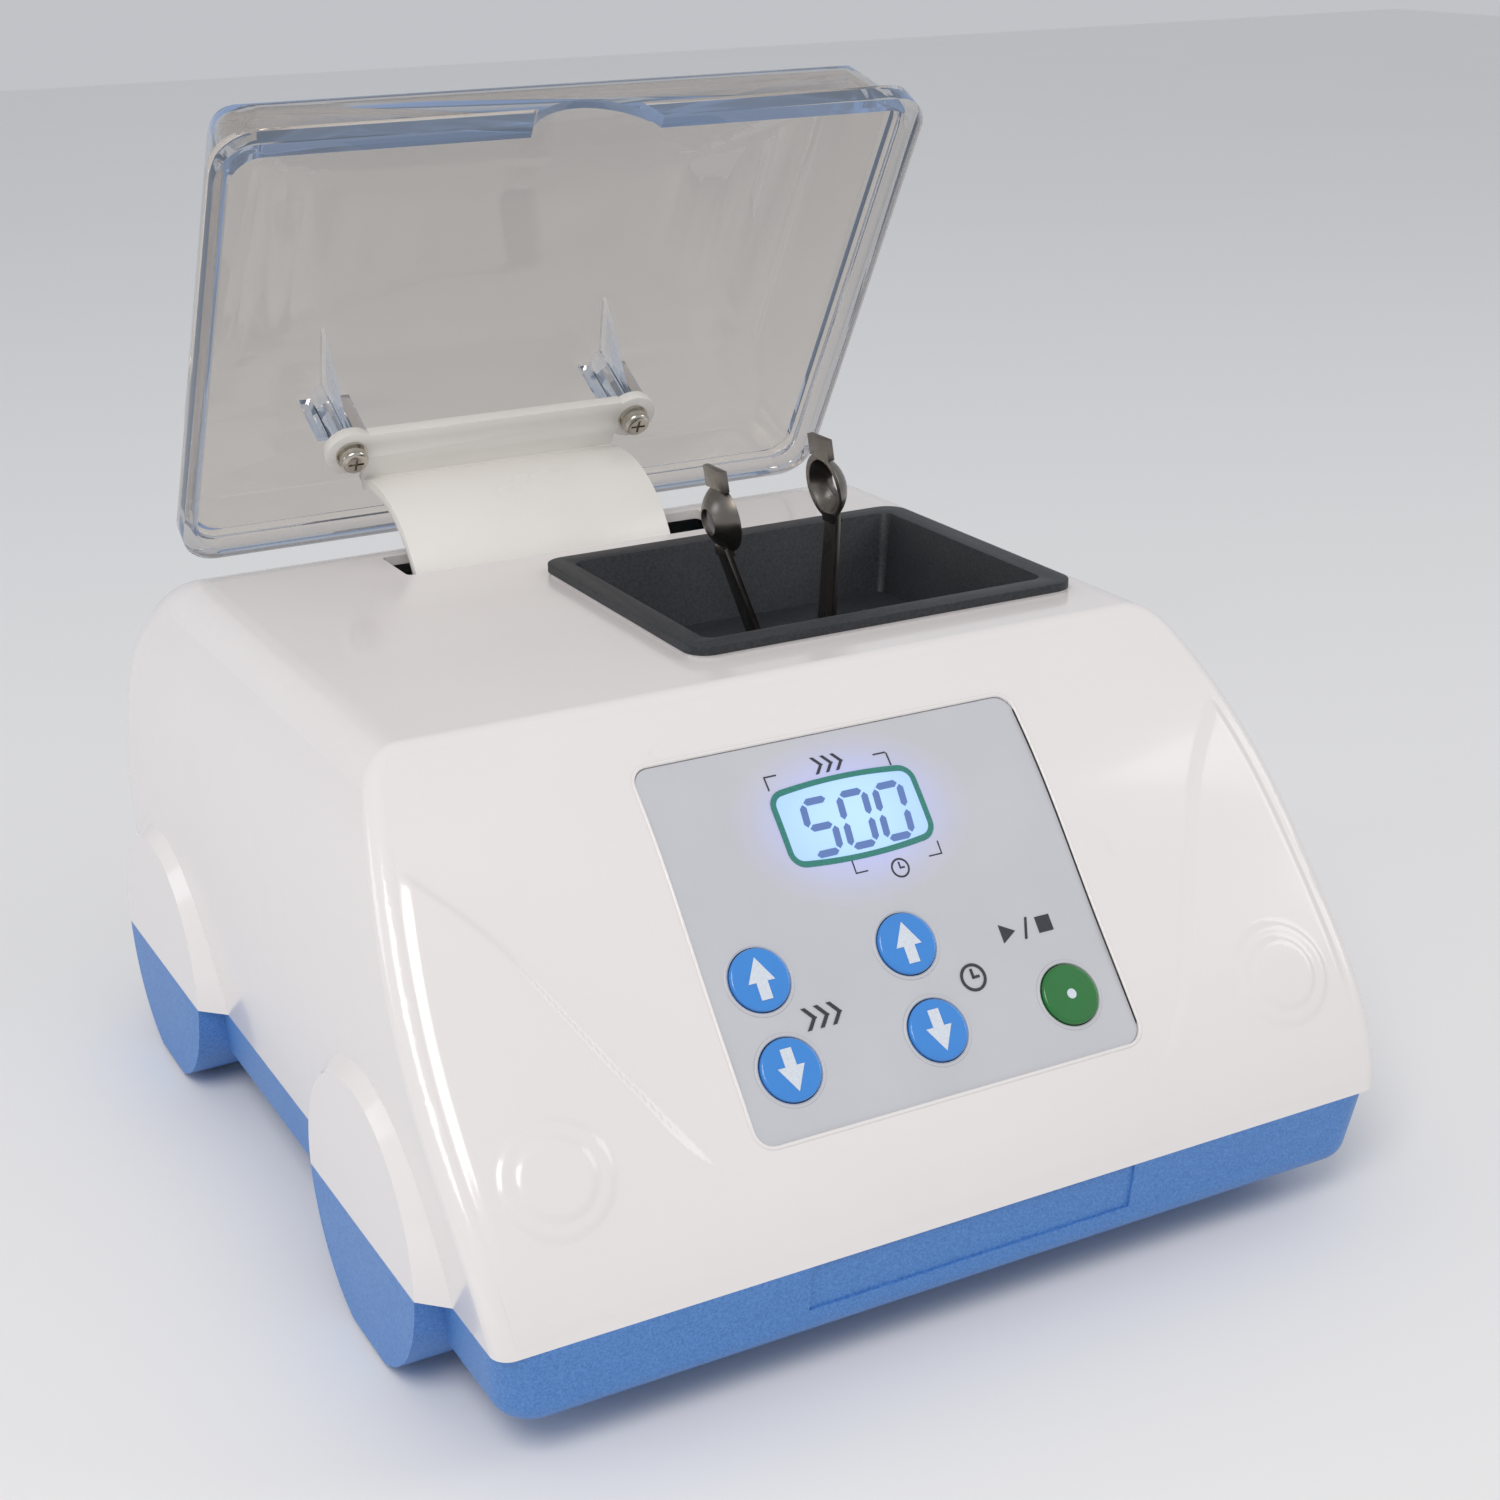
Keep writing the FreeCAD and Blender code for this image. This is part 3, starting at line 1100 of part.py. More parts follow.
def fork_arm(side):
    """Spring-steel blade with a round cup at its tip; side is -1 left, 1 right."""
    foot = fork_box(FORK_BLOCK_HALF, FORK_BLOCK_HALF + BLADE_T, ARM_WIDTH / 2,
                    ARM_FOOT_R, FORK_BLOCK_TOP)
    rim_x = CUP_HALF_GAP - CUP_DEPTH
    blade_face = polygon([
        vec(PIVOT_X + FORK_BLOCK_HALF, SHAFT_Y, SHAFT_Z + FORK_BLOCK_TOP - 1),
        vec(PIVOT_X + FORK_BLOCK_HALF + BLADE_T, SHAFT_Y, SHAFT_Z + FORK_BLOCK_TOP - 1),
        vec(PIVOT_X + rim_x + BLADE_T + 1.2, SHAFT_Y, SHAFT_Z + CUP_LOW_R + 1.5),
        vec(PIVOT_X + rim_x + 1.2, SHAFT_Y, SHAFT_Z + CUP_LOW_R + 1.5)])
    blade_face.translate(vec(0, -ARM_WIDTH / 2, 0))
    blade = blade_face.extrude(vec(0, ARM_WIDTH, 0))
    taper = (ARM_WIDTH - NECK_WIDTH) / 2
    for flip in (-1, 1):
        edge = SHAFT_Y + flip * ARM_WIDTH / 2
        trim = polygon([vec(PIVOT_X - 1, edge, SHAFT_Z + FORK_BLOCK_TOP),
                        vec(PIVOT_X - 1, edge + flip * 5, SHAFT_Z + FORK_BLOCK_TOP),
                        vec(PIVOT_X - 1, edge + flip * 5, SHAFT_Z + CUP_LOW_R + 3),
                        vec(PIVOT_X - 1, edge - flip * taper, SHAFT_Z + CUP_LOW_R + 3)])
        blade = blade.cut(trim.extrude(vec(30, 0, 0)))
    middle_r = (CUP_LOW_R + CUP_HIGH_R) / 2
    ball_r = ((CUP_WIDTH / 2) ** 2 + CUP_DEPTH ** 2) / (2 * CUP_DEPTH)
    centre = vec(PIVOT_X + CUP_HALF_GAP - ball_r, SHAFT_Y, SHAFT_Z + middle_r)
    cup = Part.makeSphere(ball_r, centre).cut(Part.makeSphere(ball_r - BLADE_T, centre))
    cup = cup.common(fork_box(rim_x, CUP_HALF_GAP + 1, 10, CUP_LOW_R - 5, CUP_HIGH_R + 5))
    tab = fork_box(rim_x, rim_x + BLADE_T, TAB_HALF, middle_r + CUP_WIDTH / 2 - 1, TAB_TOP_R)
    neck = fork_box(rim_x, rim_x + BLADE_T + 1.2, NECK_WIDTH / 2, CUP_LOW_R - 1,
                    middle_r - CUP_WIDTH / 2 + 1.5)
    hole = rod(centre, X_DIR, CUP_HOLE_DIA / 2, 20)
    inside = Part.makeSphere(ball_r - BLADE_T, centre)
    arm = union([foot, blade, cup, tab, neck.cut(inside)]).cut(hole)
    arm = arm.cut(fork_bolt_hole(SCREW3_R + 0.1))
    if side < 0:
        arm = arm.mirror(PIVOT, X_DIR)
    return leaning(arm.removeSplitter())


def fork_bolt():
    """Bolt and nut that clamp both arms to the block."""
    side = FORK_BLOCK_HALF + BLADE_T
    height = SHAFT_Z + BOLT_RADIUS
    screw = pan_screw(vec(PIVOT_X - side - 3.2, SHAFT_Y, height), X_DIR, SCREW3_R,
                      2 * side + 3.2, 2.8, 2.0)
    nut = rod_x(PIVOT_X - side - 2.4, PIVOT_X - side, SHAFT_Y, height, 3.0)
    return leaning(Part.makeCompound([screw, nut.cut(fork_bolt_hole(SCREW3_R))]))


def drive_frame():
    """Base plate with the motor plate and two bearing uprights."""
    y0 = SHAFT_Y - FRAME_HALF_Y
    y1 = SHAFT_Y + FRAME_HALF_Y
    top = FRAME_Z + FRAME_T
    frame = slab(*FRAME_X, y0, y1, FRAME_Z, top, 5.0)
    plate_x = MOTOR_X[1]
    frame = frame.fuse(box(plate_x, plate_x + FRAME_T, SHAFT_Y - 24, SHAFT_Y + 24,
                           FRAME_Z, SHAFT_Z + 24))
    for middle in UPRIGHT_X:
        x0 = middle - BEARING_W / 2
        x1 = middle + BEARING_W / 2
        frame = frame.fuse([box(x0, x1, SHAFT_Y - 15, SHAFT_Y + 15, FRAME_Z, SHAFT_Z),
                            on_shaft(x0, x1, 15.0)])
        frame = frame.cut(on_shaft(x0, x1, BEARING_OD / 2))
    holes = [on_shaft(plate_x - 1, plate_x + FRAME_T + 1, CAP_BOSS_R + 0.1)]
    holes += [rod_x(plate_x - 1, plate_x + FRAME_T + 1, SHAFT_Y + dy, SHAFT_Z + dz, SCREW3_R + 0.2)
              for dy, dz in MOTOR_BOLTS]
    holes += [rod_z(x, y, FRAME_Z - 1, top + 1, SCREW4_R + 0.2) for x, y in MOUNTS]
    return frame.cut(Part.makeCompound(holes)).removeSplitter()


def vibration_mounts():
    """Rubber isolators between the frame and the floor."""
    parts = []
    for x, y in MOUNTS:
        mount = rod_z(x, y, FLOOR_Z, FRAME_Z, MOUNT_R)
        waist = Part.makeTorus(MOUNT_R + 1.5, 2.5, vec(x, y, (FLOOR_Z + FRAME_Z) / 2), Z_DIR)
        bore = rod_z(x, y, FLOOR_Z - 1, FRAME_Z + 1, SCREW4_R + 0.1)
        parts.append(mount.cut(waist).cut(bore))
    return Part.makeCompound(parts)


def mount_screws():
    top = FRAME_Z + FRAME_T
    return Part.makeCompound([pan_screw(vec(x, y, BASE_Z + 1), Z_DIR, SCREW4_R, top - BASE_Z - 1,
                                        3.8, 2.4) for x, y in MOUNTS])


# ---- power supply and rear fittings -----------------------------------------------------
def transformer_core():
    """Iron core with two windows."""
    x, y = TRANSFORMER
    length, thick, height = CORE_SIZE
    window = (length - 3 * CORE_LIMB) / 2
    front = y + (COIL_DEPTH + 2 - thick) / 2
    core = box(x, x + length, front, front + thick, FLOOR_Z, FLOOR_Z + height)
    for x0 in (x + CORE_LIMB, x + 2 * CORE_LIMB + window):
        core = core.cut(box(x0, x0 + window, y, y + COIL_DEPTH + 2,
                            FLOOR_Z + CORE_LIMB, FLOOR_Z + height - CORE_LIMB))
    return core


def transformer_coil():
    """Winding around the middle limb."""
    x, y = TRANSFORMER
    length, thick, height = CORE_SIZE
    gap = 0.2
    window = (length - 3 * CORE_LIMB) / 2
    front = y + (COIL_DEPTH + 2 - thick) / 2
    coil = slab(x + CORE_LIMB + gap, x + length - CORE_LIMB - gap, y + 1, y + 1 + COIL_DEPTH,
                FLOOR_Z + CORE_LIMB + gap, FLOOR_Z + height - CORE_LIMB - gap, 3.0)
    limb = x + CORE_LIMB + window
    return coil.cut(box(limb, limb + CORE_LIMB, front, front + thick, 0, FAR))


def power_board():
    return slab(*POWER_BOARD, POWER_BOARD_Z, POWER_BOARD_Z + BOARD_T, 2.0)


def board_capacitors():
    x0, _, y0, _ = POWER_BOARD
    base = POWER_BOARD_Z + BOARD_T
    radius, height, spacing = CAPACITOR
    return Part.makeCompound([rod_z(x0 + 14 + spacing * step, y0 + 14, base, base + height, radius)
                              for step in range(3)])


def heat_sink():
    x0, _, _, y1 = POWER_BOARD
    base = POWER_BOARD_Z + BOARD_T
    fins = [box(x0 + 10, x0 + 58, y1 - 16, y1 - 14, base, base + SINK_H)]
    fins += [box(x0 + 10 + 9 * step, x0 + 11.5 + 9 * step, y1 - 14.5, y1 - 4, base, base + SINK_H)
             for step in range(SINK_FINS)]
    return union(fins)


def rear_box(x, half_x, half_z, y0, y1):
    return box(x - half_x, x + half_x, y0, y1, INLET_Z - half_z, INLET_Z + half_z)


def mains_inlet():
    """Three-pin appliance inlet with a screwed flange."""
    body = rear_box(INLET_X, INLET_W / 2 - 0.1, INLET_H / 2 - 0.1, DEPTH - 24, DEPTH)
    flange = rear_box(INLET_X, INLET_SCREW + 5, INLET_H / 2 + 1.5, DEPTH, DEPTH + 2)
    mouth = rear_box(INLET_X, 12.0, 8.0, DEPTH - 16, DEPTH + 3)
    shape = body.fuse(flange).cut(mouth)
    for dx in (-INLET_SCREW, INLET_SCREW):
        shape = shape.cut(rod(vec(INLET_X + dx, DEPTH - 5, INLET_Z), Y_DIR, SCREW3_R + 0.2, 10))
    for dx, dz in INLET_PINS:
        shape = shape.cut(inlet_pin(dx, dz))
    return shape.removeSplitter()


def inlet_pin(dx, dz):
    return box(INLET_X + dx - 1, INLET_X + dx + 1, DEPTH - 30, DEPTH - 3,
               INLET_Z + dz - 2, INLET_Z + dz + 2)


def inlet_pins():
    return Part.makeCompound([inlet_pin(dx, dz) for dx, dz in INLET_PINS])


def inlet_screws():
    return Part.makeCompound([
        pan_screw(vec(INLET_X + dx, DEPTH - WALL - 3, INLET_Z), Y_DIR, SCREW3_R, WALL + 5, 2.8, 1.8)
        for dx in (-INLET_SCREW, INLET_SCREW)])


def fuse_holder():
    centre = vec(FUSE_X, DEPTH, INLET_Z)
    body = rod(centre, -Y_DIR, FUSE_DIA / 2, 22).fuse(rod(centre, Y_DIR, FUSE_DIA / 2 + 2, 2))
    cap = rod(centre + Y_DIR * 2, Y_DIR, FUSE_DIA / 2 - 1, 3)
    slot = box(FUSE_X - 4, FUSE_X + 4, DEPTH + 4, DEPTH + 6, INLET_Z - 0.6, INLET_Z + 0.6)
    return body.fuse(cap).cut(slot).removeSplitter()


def switch_body():
    body = rear_box(ROCKER_X, ROCKER_W / 2 - 0.1, ROCKER_H / 2 - 0.1, DEPTH - 16, DEPTH)
    bezel = rear_box(ROCKER_X, ROCKER_W / 2 + 1.2, ROCKER_H / 2 + 1.2, DEPTH, DEPTH + 1.6)
    well = rear_box(ROCKER_X, ROCKER_W / 2 - 1.3, ROCKER_H / 2 - 0.9, DEPTH - 6, DEPTH + 3)
    return body.fuse(bezel).cut(well).removeSplitter()


def rocker():
    """Rocker at its off tilt; it turns about the middle of the switch."""
    half_x = ROCKER_W / 2 - 1.6
    half_z = ROCKER_H / 2 - 2.0
    paddle = rear_box(ROCKER_X, half_x, half_z, DEPTH - 2.5, DEPTH + 2.8)
    dish = rod(vec(ROCKER_X - 20, DEPTH + 21.5, INLET_Z), X_DIR, 20.0, 40)
    return turned(paddle.cut(dish), vec(ROCKER_X, DEPTH, INLET_Z), X_DIR, ROCKER_TILT)


# ---- write every piece ------------------------------------------------------------------
def build():
    pieces = {
        "upper_housing": upper_housing(), "lower_housing": lower_housing(),
        "foot_pads": foot_pads(), "housing_screws": housing_screws(),
        "keypad_overlay": keypad_overlay(), "display_lens": display_lens(),
        "display_module": display_module(), "control_board": control_board(),
        "tact_switches": tact_switches(), "board_screws": board_screws(),
        "mixing_tray": mixing_tray(), "lid_cover": lid_cover(), "hinge_arm": hinge_arm(),
        "lid_screws": lid_screws(), "lid_washers": lid_washers(), "lid_magnet": lid_magnet(),
        "lid_sensor": lid_sensor(), "hinge_pin": hinge_pin(), "hinge_spacers": hinge_spacers(),
        "hinge_brackets": hinge_brackets(), "bracket_screws": bracket_screws(),
        "motor_can": motor_can(), "motor_end_caps": motor_end_caps(),
        "motor_bushes": motor_bushes(), "motor_magnets": motor_magnets(),
        "motor_rotor": motor_rotor(), "motor_shaft": motor_shaft(),
        "motor_screws": motor_screws(), "shaft_coupling": shaft_coupling(),
        "drive_shaft": drive_shaft(), "bearing_inner_rings": bearing_inner_rings(),
        "bearing_outer_rings": bearing_outer_rings(), "skew_hub": skew_hub(),
        "balance_weight": balance_weight(), "fork_carrier": fork_carrier(),
        "wobble_ring": wobble_ring(), "guide_pin": guide_pin(), "guide_block": guide_block(),
        "fork_arm_left": fork_arm(-1), "fork_arm_right": fork_arm(1), "fork_bolt": fork_bolt(),
        "drive_frame": drive_frame(), "vibration_mounts": vibration_mounts(),
        "mount_screws": mount_screws(), "transformer_core": transformer_core(),
        "transformer_coil": transformer_coil(), "power_board": power_board(),
        "board_capacitors": board_capacitors(), "heat_sink": heat_sink(),
        "mains_inlet": mains_inlet(), "inlet_pins": inlet_pins(),
        "inlet_screws": inlet_screws(), "fuse_holder": fuse_holder(),
        "switch_body": switch_body(), "rocker": rocker(),
    }
    for name in KEYS:
        pieces[name] = key(name)
    return pieces


def main():
    os.makedirs("parts", exist_ok=True)
    pieces = build()
    outline = FreeCAD.BoundBox()
    for shape in pieces.values():
        outline.add(shape.optimalBoundingBox(False))
    shift = vec(0, -(outline.YMin + outline.YMax) / 2, 0)
    for name, shape in pieces.items():
        placed = shape.copy()
        placed.translate(shift)
        placed.exportStep("parts/" + name + ".step")
    print("origin is", round(-shift.y, 3), "mm behind the lower front edge")


main()
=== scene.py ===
import logging
import math
from dataclasses import dataclass
from enum import Enum

import bpy
import numpy as np
from mathutils import Matrix, Vector
from mathutils.bvhtree import BVHTree


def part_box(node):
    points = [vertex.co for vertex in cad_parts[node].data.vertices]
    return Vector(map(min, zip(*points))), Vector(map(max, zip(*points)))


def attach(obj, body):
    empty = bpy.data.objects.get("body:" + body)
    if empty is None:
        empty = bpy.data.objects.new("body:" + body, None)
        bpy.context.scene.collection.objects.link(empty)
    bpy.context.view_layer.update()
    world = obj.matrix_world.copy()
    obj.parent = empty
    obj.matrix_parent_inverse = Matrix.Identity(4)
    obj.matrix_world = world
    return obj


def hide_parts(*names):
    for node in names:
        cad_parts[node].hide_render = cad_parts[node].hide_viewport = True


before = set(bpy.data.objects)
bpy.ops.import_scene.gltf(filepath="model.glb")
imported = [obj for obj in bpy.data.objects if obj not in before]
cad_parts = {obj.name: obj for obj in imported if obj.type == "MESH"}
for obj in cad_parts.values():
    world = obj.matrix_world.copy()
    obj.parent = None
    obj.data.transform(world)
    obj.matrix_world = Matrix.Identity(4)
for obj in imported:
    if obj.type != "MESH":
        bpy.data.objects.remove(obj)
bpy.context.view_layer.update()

# Dental capsule mixer: a box with a sloping key panel, a sunken tray with a two-armed capsule fork,
# and a clear lid on a curved arm. Metres; X to the right, Y to the back, Z up.

MM = 0.001
BODY = "base"
log = logging.getLogger("capsule_mixer")

MIX_FIRST, MIX_SECOND, MIX_RESULT = 6, 7, 2    # sockets of a mix node that mixes colours
ROUND = 48                             # sides of a round outline
CORNER_STEPS = 6                       # steps of a plate's round corner
SHARP = 35.0                           # degrees between faces: edges of a moulded or cut part
CURVED = 50.0                          # edges of a part that is bent onto the front
STEEP = 60.0                           # edges of a thin lip or rim
LEVEL = 0.4                            # faces this close to flat are merged
MERGE = 2e-6                           # metres; vertices this close are merged

FILM = -0.45 * MM                      # face of the panel's film, from the housing's face
SINK = 0.1 * MM                        # how far a print reaches into the film
INK_T = 0.12 * MM                      # how far it stands out, thick enough to show
ROW = 2 * MM                           # rows in which a print follows the slope
LIP_ROW = 3 * MM
LIT_SEGMENTS = {"5": "afgcd", "0": "abcdef"}
KEY_HEIGHTS = {"key_speed_up": 80.0 * MM, "key_speed_down": 64.6 * MM, "key_timer_up": 79.8 * MM,
               "key_timer_down": 64.5 * MM, "key_start": 64.4 * MM}


# ---- nodes and finishes -----------------------------------------------------------------
def linear(hex_colour: str) -> tuple[float, float, float, float]:
    """Turns an sRGB hex colour into linear light.

    Args:
        hex_colour: "#rrggbb".
    Returns:
        Red, green, blue and an alpha of 1.
    """
    parts = [int(hex_colour[start:start + 2], 16) / 255 for start in (1, 3, 5)]
    red, green, blue = [c / 12.92 if c <= 0.04045 else ((c + 0.055) / 1.055) ** 2.4 for c in parts]
    return red, green, blue, 1.0


def add_node(tree: bpy.types.NodeTree, kind: str, settings: dict | None = None,
             inputs: dict | None = None) -> bpy.types.Node:
    """Adds one shader node.

    Args:
        tree: the material's node tree.
        kind: the node's type name.
        settings: attributes of the node.
        inputs: a value or an output socket for each named or numbered input.
    Returns:
        The node.
    """
    node = tree.nodes.new(kind)
    for key, value in (settings or {}).items():
        setattr(node, key, value)
    for key, value in (inputs or {}).items():
        if isinstance(value, bpy.types.NodeSocket):
            tree.links.new(value, node.inputs[key])
        else:
            node.inputs[key].default_value = value
    return node


@dataclass(frozen=True)
class Finish:
    """A surface made of one material: two close colours, a roughness range and a fine relief."""

    name: str
    colour: str
    drift: str                         # the colour that the first one drifts to
    drift_mm: float = 40.0             # size of the colour patches
    grain_mm: float = 0.8              # size of the surface texture
    relief_mm: float = 0.01            # height of that texture
    smooth: float = 0.2                # roughness where the surface is smoothest
    rough: float = 0.3
    stretch: tuple[float, float, float] = (1.0, 1.0, 1.0)
    metallic: float = 0.0
    ior: float = 1.5
    coat: float = 0.0
    transmission: float = 0.0
    glow: float = 0.0

    def build(self) -> bpy.types.Material:
        """Makes the material.

        Returns:
            The finished material.
        """
        material = bpy.data.materials.new(self.name)
        material.use_nodes = True
        tree = material.node_tree
        tree.nodes.clear()
        place = add_node(tree, "ShaderNodeTexCoord").outputs["Object"]
        along = add_node(tree, "ShaderNodeMapping", inputs={"Vector": place, "Scale": self.stretch})
        patches = add_node(tree, "ShaderNodeTexNoise",
                           inputs={"Vector": place, "Scale": 1 / (self.drift_mm * MM), "Detail": 3.0})
        grain = add_node(tree, "ShaderNodeTexNoise",
                         inputs={"Vector": along.outputs[0], "Scale": 1 / (self.grain_mm * MM),
                                 "Detail": 4.0})
        factor = self.factor(tree, patches.outputs["Fac"], grain.outputs["Fac"])
        colour = add_node(tree, "ShaderNodeMix", {"data_type": "RGBA"},
                          {"Factor": factor, MIX_FIRST: linear(self.colour),
                           MIX_SECOND: linear(self.drift)})
        gloss = add_node(tree, "ShaderNodeMapRange",
                         inputs={"Value": patches.outputs["Fac"], "From Min": 0.3, "From Max": 0.7,
                                 "To Min": self.smooth, "To Max": self.rough})
        bump = add_node(tree, "ShaderNodeBump",
                        inputs={"Height": grain.outputs["Fac"], "Strength": 1.0,
                                "Distance": self.relief_mm * MM})
        shader = add_node(tree, "ShaderNodeBsdfPrincipled",
                          inputs={"Base Color": colour.outputs[MIX_RESULT],
                                  "Roughness": gloss.outputs["Result"],
                                  "Normal": bump.outputs["Normal"], "Metallic": self.metallic,
                                  "IOR": self.ior, "Coat Weight": self.coat,
                                  "Transmission Weight": self.transmission,
                                  "Coat Roughness": 0.06, "Emission Strength": self.glow})
        output = add_node(tree, "ShaderNodeOutputMaterial",
                          inputs={"Surface": shader.outputs["BSDF"]})
        self.extra(tree, place, shader, output)
        return material

    def factor(self, tree: bpy.types.NodeTree, patches: bpy.types.NodeSocket,
               grain: bpy.types.NodeSocket) -> bpy.types.NodeSocket:
        """What mixes the two colours: the patches, in a plain finish."""
        return patches

    def extra(self, tree: bpy.types.NodeTree, place: bpy.types.NodeSocket,
              shader: bpy.types.Node, output: bpy.types.Node) -> None:
        """Adds nothing to a plain finish; a special one adds its own nodes here."""


@dataclass(frozen=True)
class SpeckledFinish(Finish):
    """A filled or textured surface whose fine grain also shows in its colour."""

    def factor(self, tree: bpy.types.NodeTree, patches: bpy.types.NodeSocket,
               grain: bpy.types.NodeSocket) -> bpy.types.NodeSocket:
        """What mixes the two colours: the fine grain, so that it shows as speckle."""
        spread = add_node(tree, "ShaderNodeMapRange",
                          inputs={"Value": grain, "From Min": 0.35, "From Max": 0.65})
        return spread.outputs["Result"]


@dataclass(frozen=True)
class ClearFinish(Finish):
    """Clear moulded plastic that turns blue where light runs far through it, with a painted glow inside
    its wall that stands in for light collected there.
    """

    depth_colour: str = "#89aacb"      # what is left of white light deep inside
    density: float = 40.0              # per metre
    painted_glow_colour: str = "#d4e5ff"    # painted glow: the wall emits this colour, standing in for light collected inside and seen along the edges
    # strength of that painted glow
    painted_glow_strength: float = 11.0

    def extra(self, tree: bpy.types.NodeTree, place: bpy.types.NodeSocket,
              shader: bpy.types.Node, output: bpy.types.Node) -> None:
        """Adds the absorption, and a painted glow: the wall emits light of its own, standing in for light
        collected inside it.

        Args:
            tree: the material's node tree.
            place: object coordinates; not used.
            shader: the main shader; not used.
            output: the material's output.
        """
        absorption = add_node(tree, "ShaderNodeVolumeAbsorption",
                              inputs={"Color": linear(self.depth_colour), "Density": self.density})
        # painted glow: emission inside the wall, standing in for light collected there
        painted_glow = add_node(tree, "ShaderNodeEmission",
                            inputs={"Color": linear(self.painted_glow_colour), "Strength": self.painted_glow_strength})
        volume = add_node(tree, "ShaderNodeAddShader",
                          inputs={0: absorption.outputs[0], 1: painted_glow.outputs[0]})
        tree.links.new(volume.outputs[0], output.inputs["Volume"])


@dataclass(frozen=True)
class GlowFinish(Finish):
    """A back-lit surface, brightest around one place and fading away from it."""

    centre: tuple[float, float, float] = (0.0, 0.0, 0.0)
    reach: tuple[float, float, float] = (0.02, 0.02, 0.02)
    glow_colour: str = "#4a6cff"
    edge_glow: float = 0.0

    def extra(self, tree: bpy.types.NodeTree, place: bpy.types.NodeSocket,
              shader: bpy.types.Node, output: bpy.types.Node) -> None:
        """Adds the glow as emission that falls off with distance.

        Args:
            tree: the material's node tree.
            place: object coordinates.
            shader: the main shader.
            output: the material's output; not used.
        """
        scale = tuple(1 / size for size in self.reach)
        offset = tuple(-c * s for c, s in zip(self.centre, scale))
        local = add_node(tree, "ShaderNodeMapping",
                         inputs={"Vector": place, "Location": offset, "Scale": scale})
        fall = add_node(tree, "ShaderNodeTexGradient", {"gradient_type": "SPHERICAL"},
                        {"Vector": local.outputs[0]})
        level = add_node(tree, "ShaderNodeMapRange", {"interpolation_type": "SMOOTHSTEP"},
                         {"Value": fall.outputs["Fac"], "To Min": self.edge_glow, "To Max": 1.0})
        dark = (0.0, 0.0, 0.0, 1.0)
        mix = add_node(tree, "ShaderNodeMix", {"data_type": "RGBA"},
                       {"Factor": level.outputs["Result"], MIX_FIRST: dark,
                        MIX_SECOND: linear(self.glow_colour)})
        tree.links.new(mix.outputs[MIX_RESULT], shader.inputs["Emission Color"])


# Injection-moulded gloss ABS, polished tool: soft wide reflections with a faint ripple.
WHITE_ABS = Finish("moulded_abs_white", "#efebea", "#e9e5e4", drift_mm=60, grain_mm=9.0,
                   relief_mm=0.006, smooth=0.15, rough=0.22, coat=0.35)
# Injection-moulded ABS from a spark-eroded tool: satin blue with a fine sparkle.
BLUE_ABS = SpeckledFinish("textured_abs_blue", "#4479bd", "#5a90d2", grain_mm=0.55, relief_mm=0.025,
                          smooth=0.38, rough=0.46)
# Moulded matte ABS, charcoal: dry surface with a soft sheen on its edges.
TRAY_ABS = SpeckledFinish("textured_abs_charcoal", "#202226", "#303338", grain_mm=0.7,
                          relief_mm=0.03, smooth=0.42, rough=0.55)
# Moulded acetal, white: slightly waxy gloss.
ACETAL = Finish("moulded_acetal_white", "#f2f0ec", "#eae8e4", drift_mm=25, grain_mm=9.0,
                relief_mm=0.004, smooth=0.2, rough=0.28, ior=1.48)
# Clear moulded acrylic: glass-like wall, blue along its edges, partly from real absorption and partly from
# a painted glow.
CLEAR = ClearFinish("moulded_acrylic_clear", "#ebe2d8", "#e2d9cf", drift_mm=70, grain_mm=14.0,
                    relief_mm=0.006, smooth=0.02, rough=0.06, ior=1.4, transmission=1.0)
# Bright nickel plate over steel: near-mirror with soft smears.
NICKEL = Finish("nickel_plate", "#cfcac0", "#b9b4aa", drift_mm=3, grain_mm=0.5, relief_mm=0.004,
                smooth=0.12, rough=0.26, metallic=1.0)
# Hardened stainless strip, ground along its length: dark, streaked reflections.
SPRING_STEEL = Finish("ground_stainless_strip", "#8b8680", "#6d6863", drift_mm=9, grain_mm=0.35,
                      relief_mm=0.012, smooth=0.24, rough=0.4, stretch=(1.0, 1.0, 0.06),
                      metallic=1.0)
# Zinc-plated pressed steel: cool grey with a cloudy bloom.
ZINC = Finish("zinc_plate", "#b4b7ba", "#9ca0a4", drift_mm=6, grain_mm=0.6, relief_mm=0.01,
              smooth=0.28, rough=0.45, metallic=1.0)
# Sand-cast aluminium: light grey and grainy.
CAST_ALUMINIUM = Finish("cast_aluminium", "#c6c7c9", "#aeb0b3", drift_mm=8, grain_mm=0.5,
                        relief_mm=0.04, smooth=0.4, rough=0.6, metallic=1.0)
# Sintered bronze: warm, porous.
BRONZE = SpeckledFinish("sintered_bronze", "#b98a4e", "#8f6634", grain_mm=0.4, relief_mm=0.02,
                        smooth=0.35, rough=0.5, metallic=1.0)
# Sintered ferrite: dull dark grey ceramic.
FERRITE = SpeckledFinish("ferrite", "#2b2b2e", "#3a3a3e", grain_mm=0.6, relief_mm=0.02,
                         smooth=0.55, rough=0.75)
# Glass-epoxy board under green solder resist.
BOARD = SpeckledFinish("solder_resist_green", "#145c2e", "#0e4a26", grain_mm=0.9, relief_mm=0.01,
                       smooth=0.25, rough=0.4, coat=0.4)
# Taped copper winding, seen as varnished brown bands.
WINDING = Finish("varnished_winding", "#a2602a", "#7d4418", drift_mm=2, grain_mm=0.5,
                 relief_mm=0.12, smooth=0.3, rough=0.5, stretch=(0.08, 1.0, 1.0))
# Moulded nylon, black: satin.
BLACK_NYLON = SpeckledFinish("moulded_nylon_black", "#141416", "#1f1f22", grain_mm=0.5,
                             relief_mm=0.012, smooth=0.3, rough=0.42)
# Moulded nylon, natural: milky.
NYLON = Finish("moulded_nylon_natural", "#e6e3d8", "#dcd8cb", grain_mm=3.0, smooth=0.35, rough=0.5)
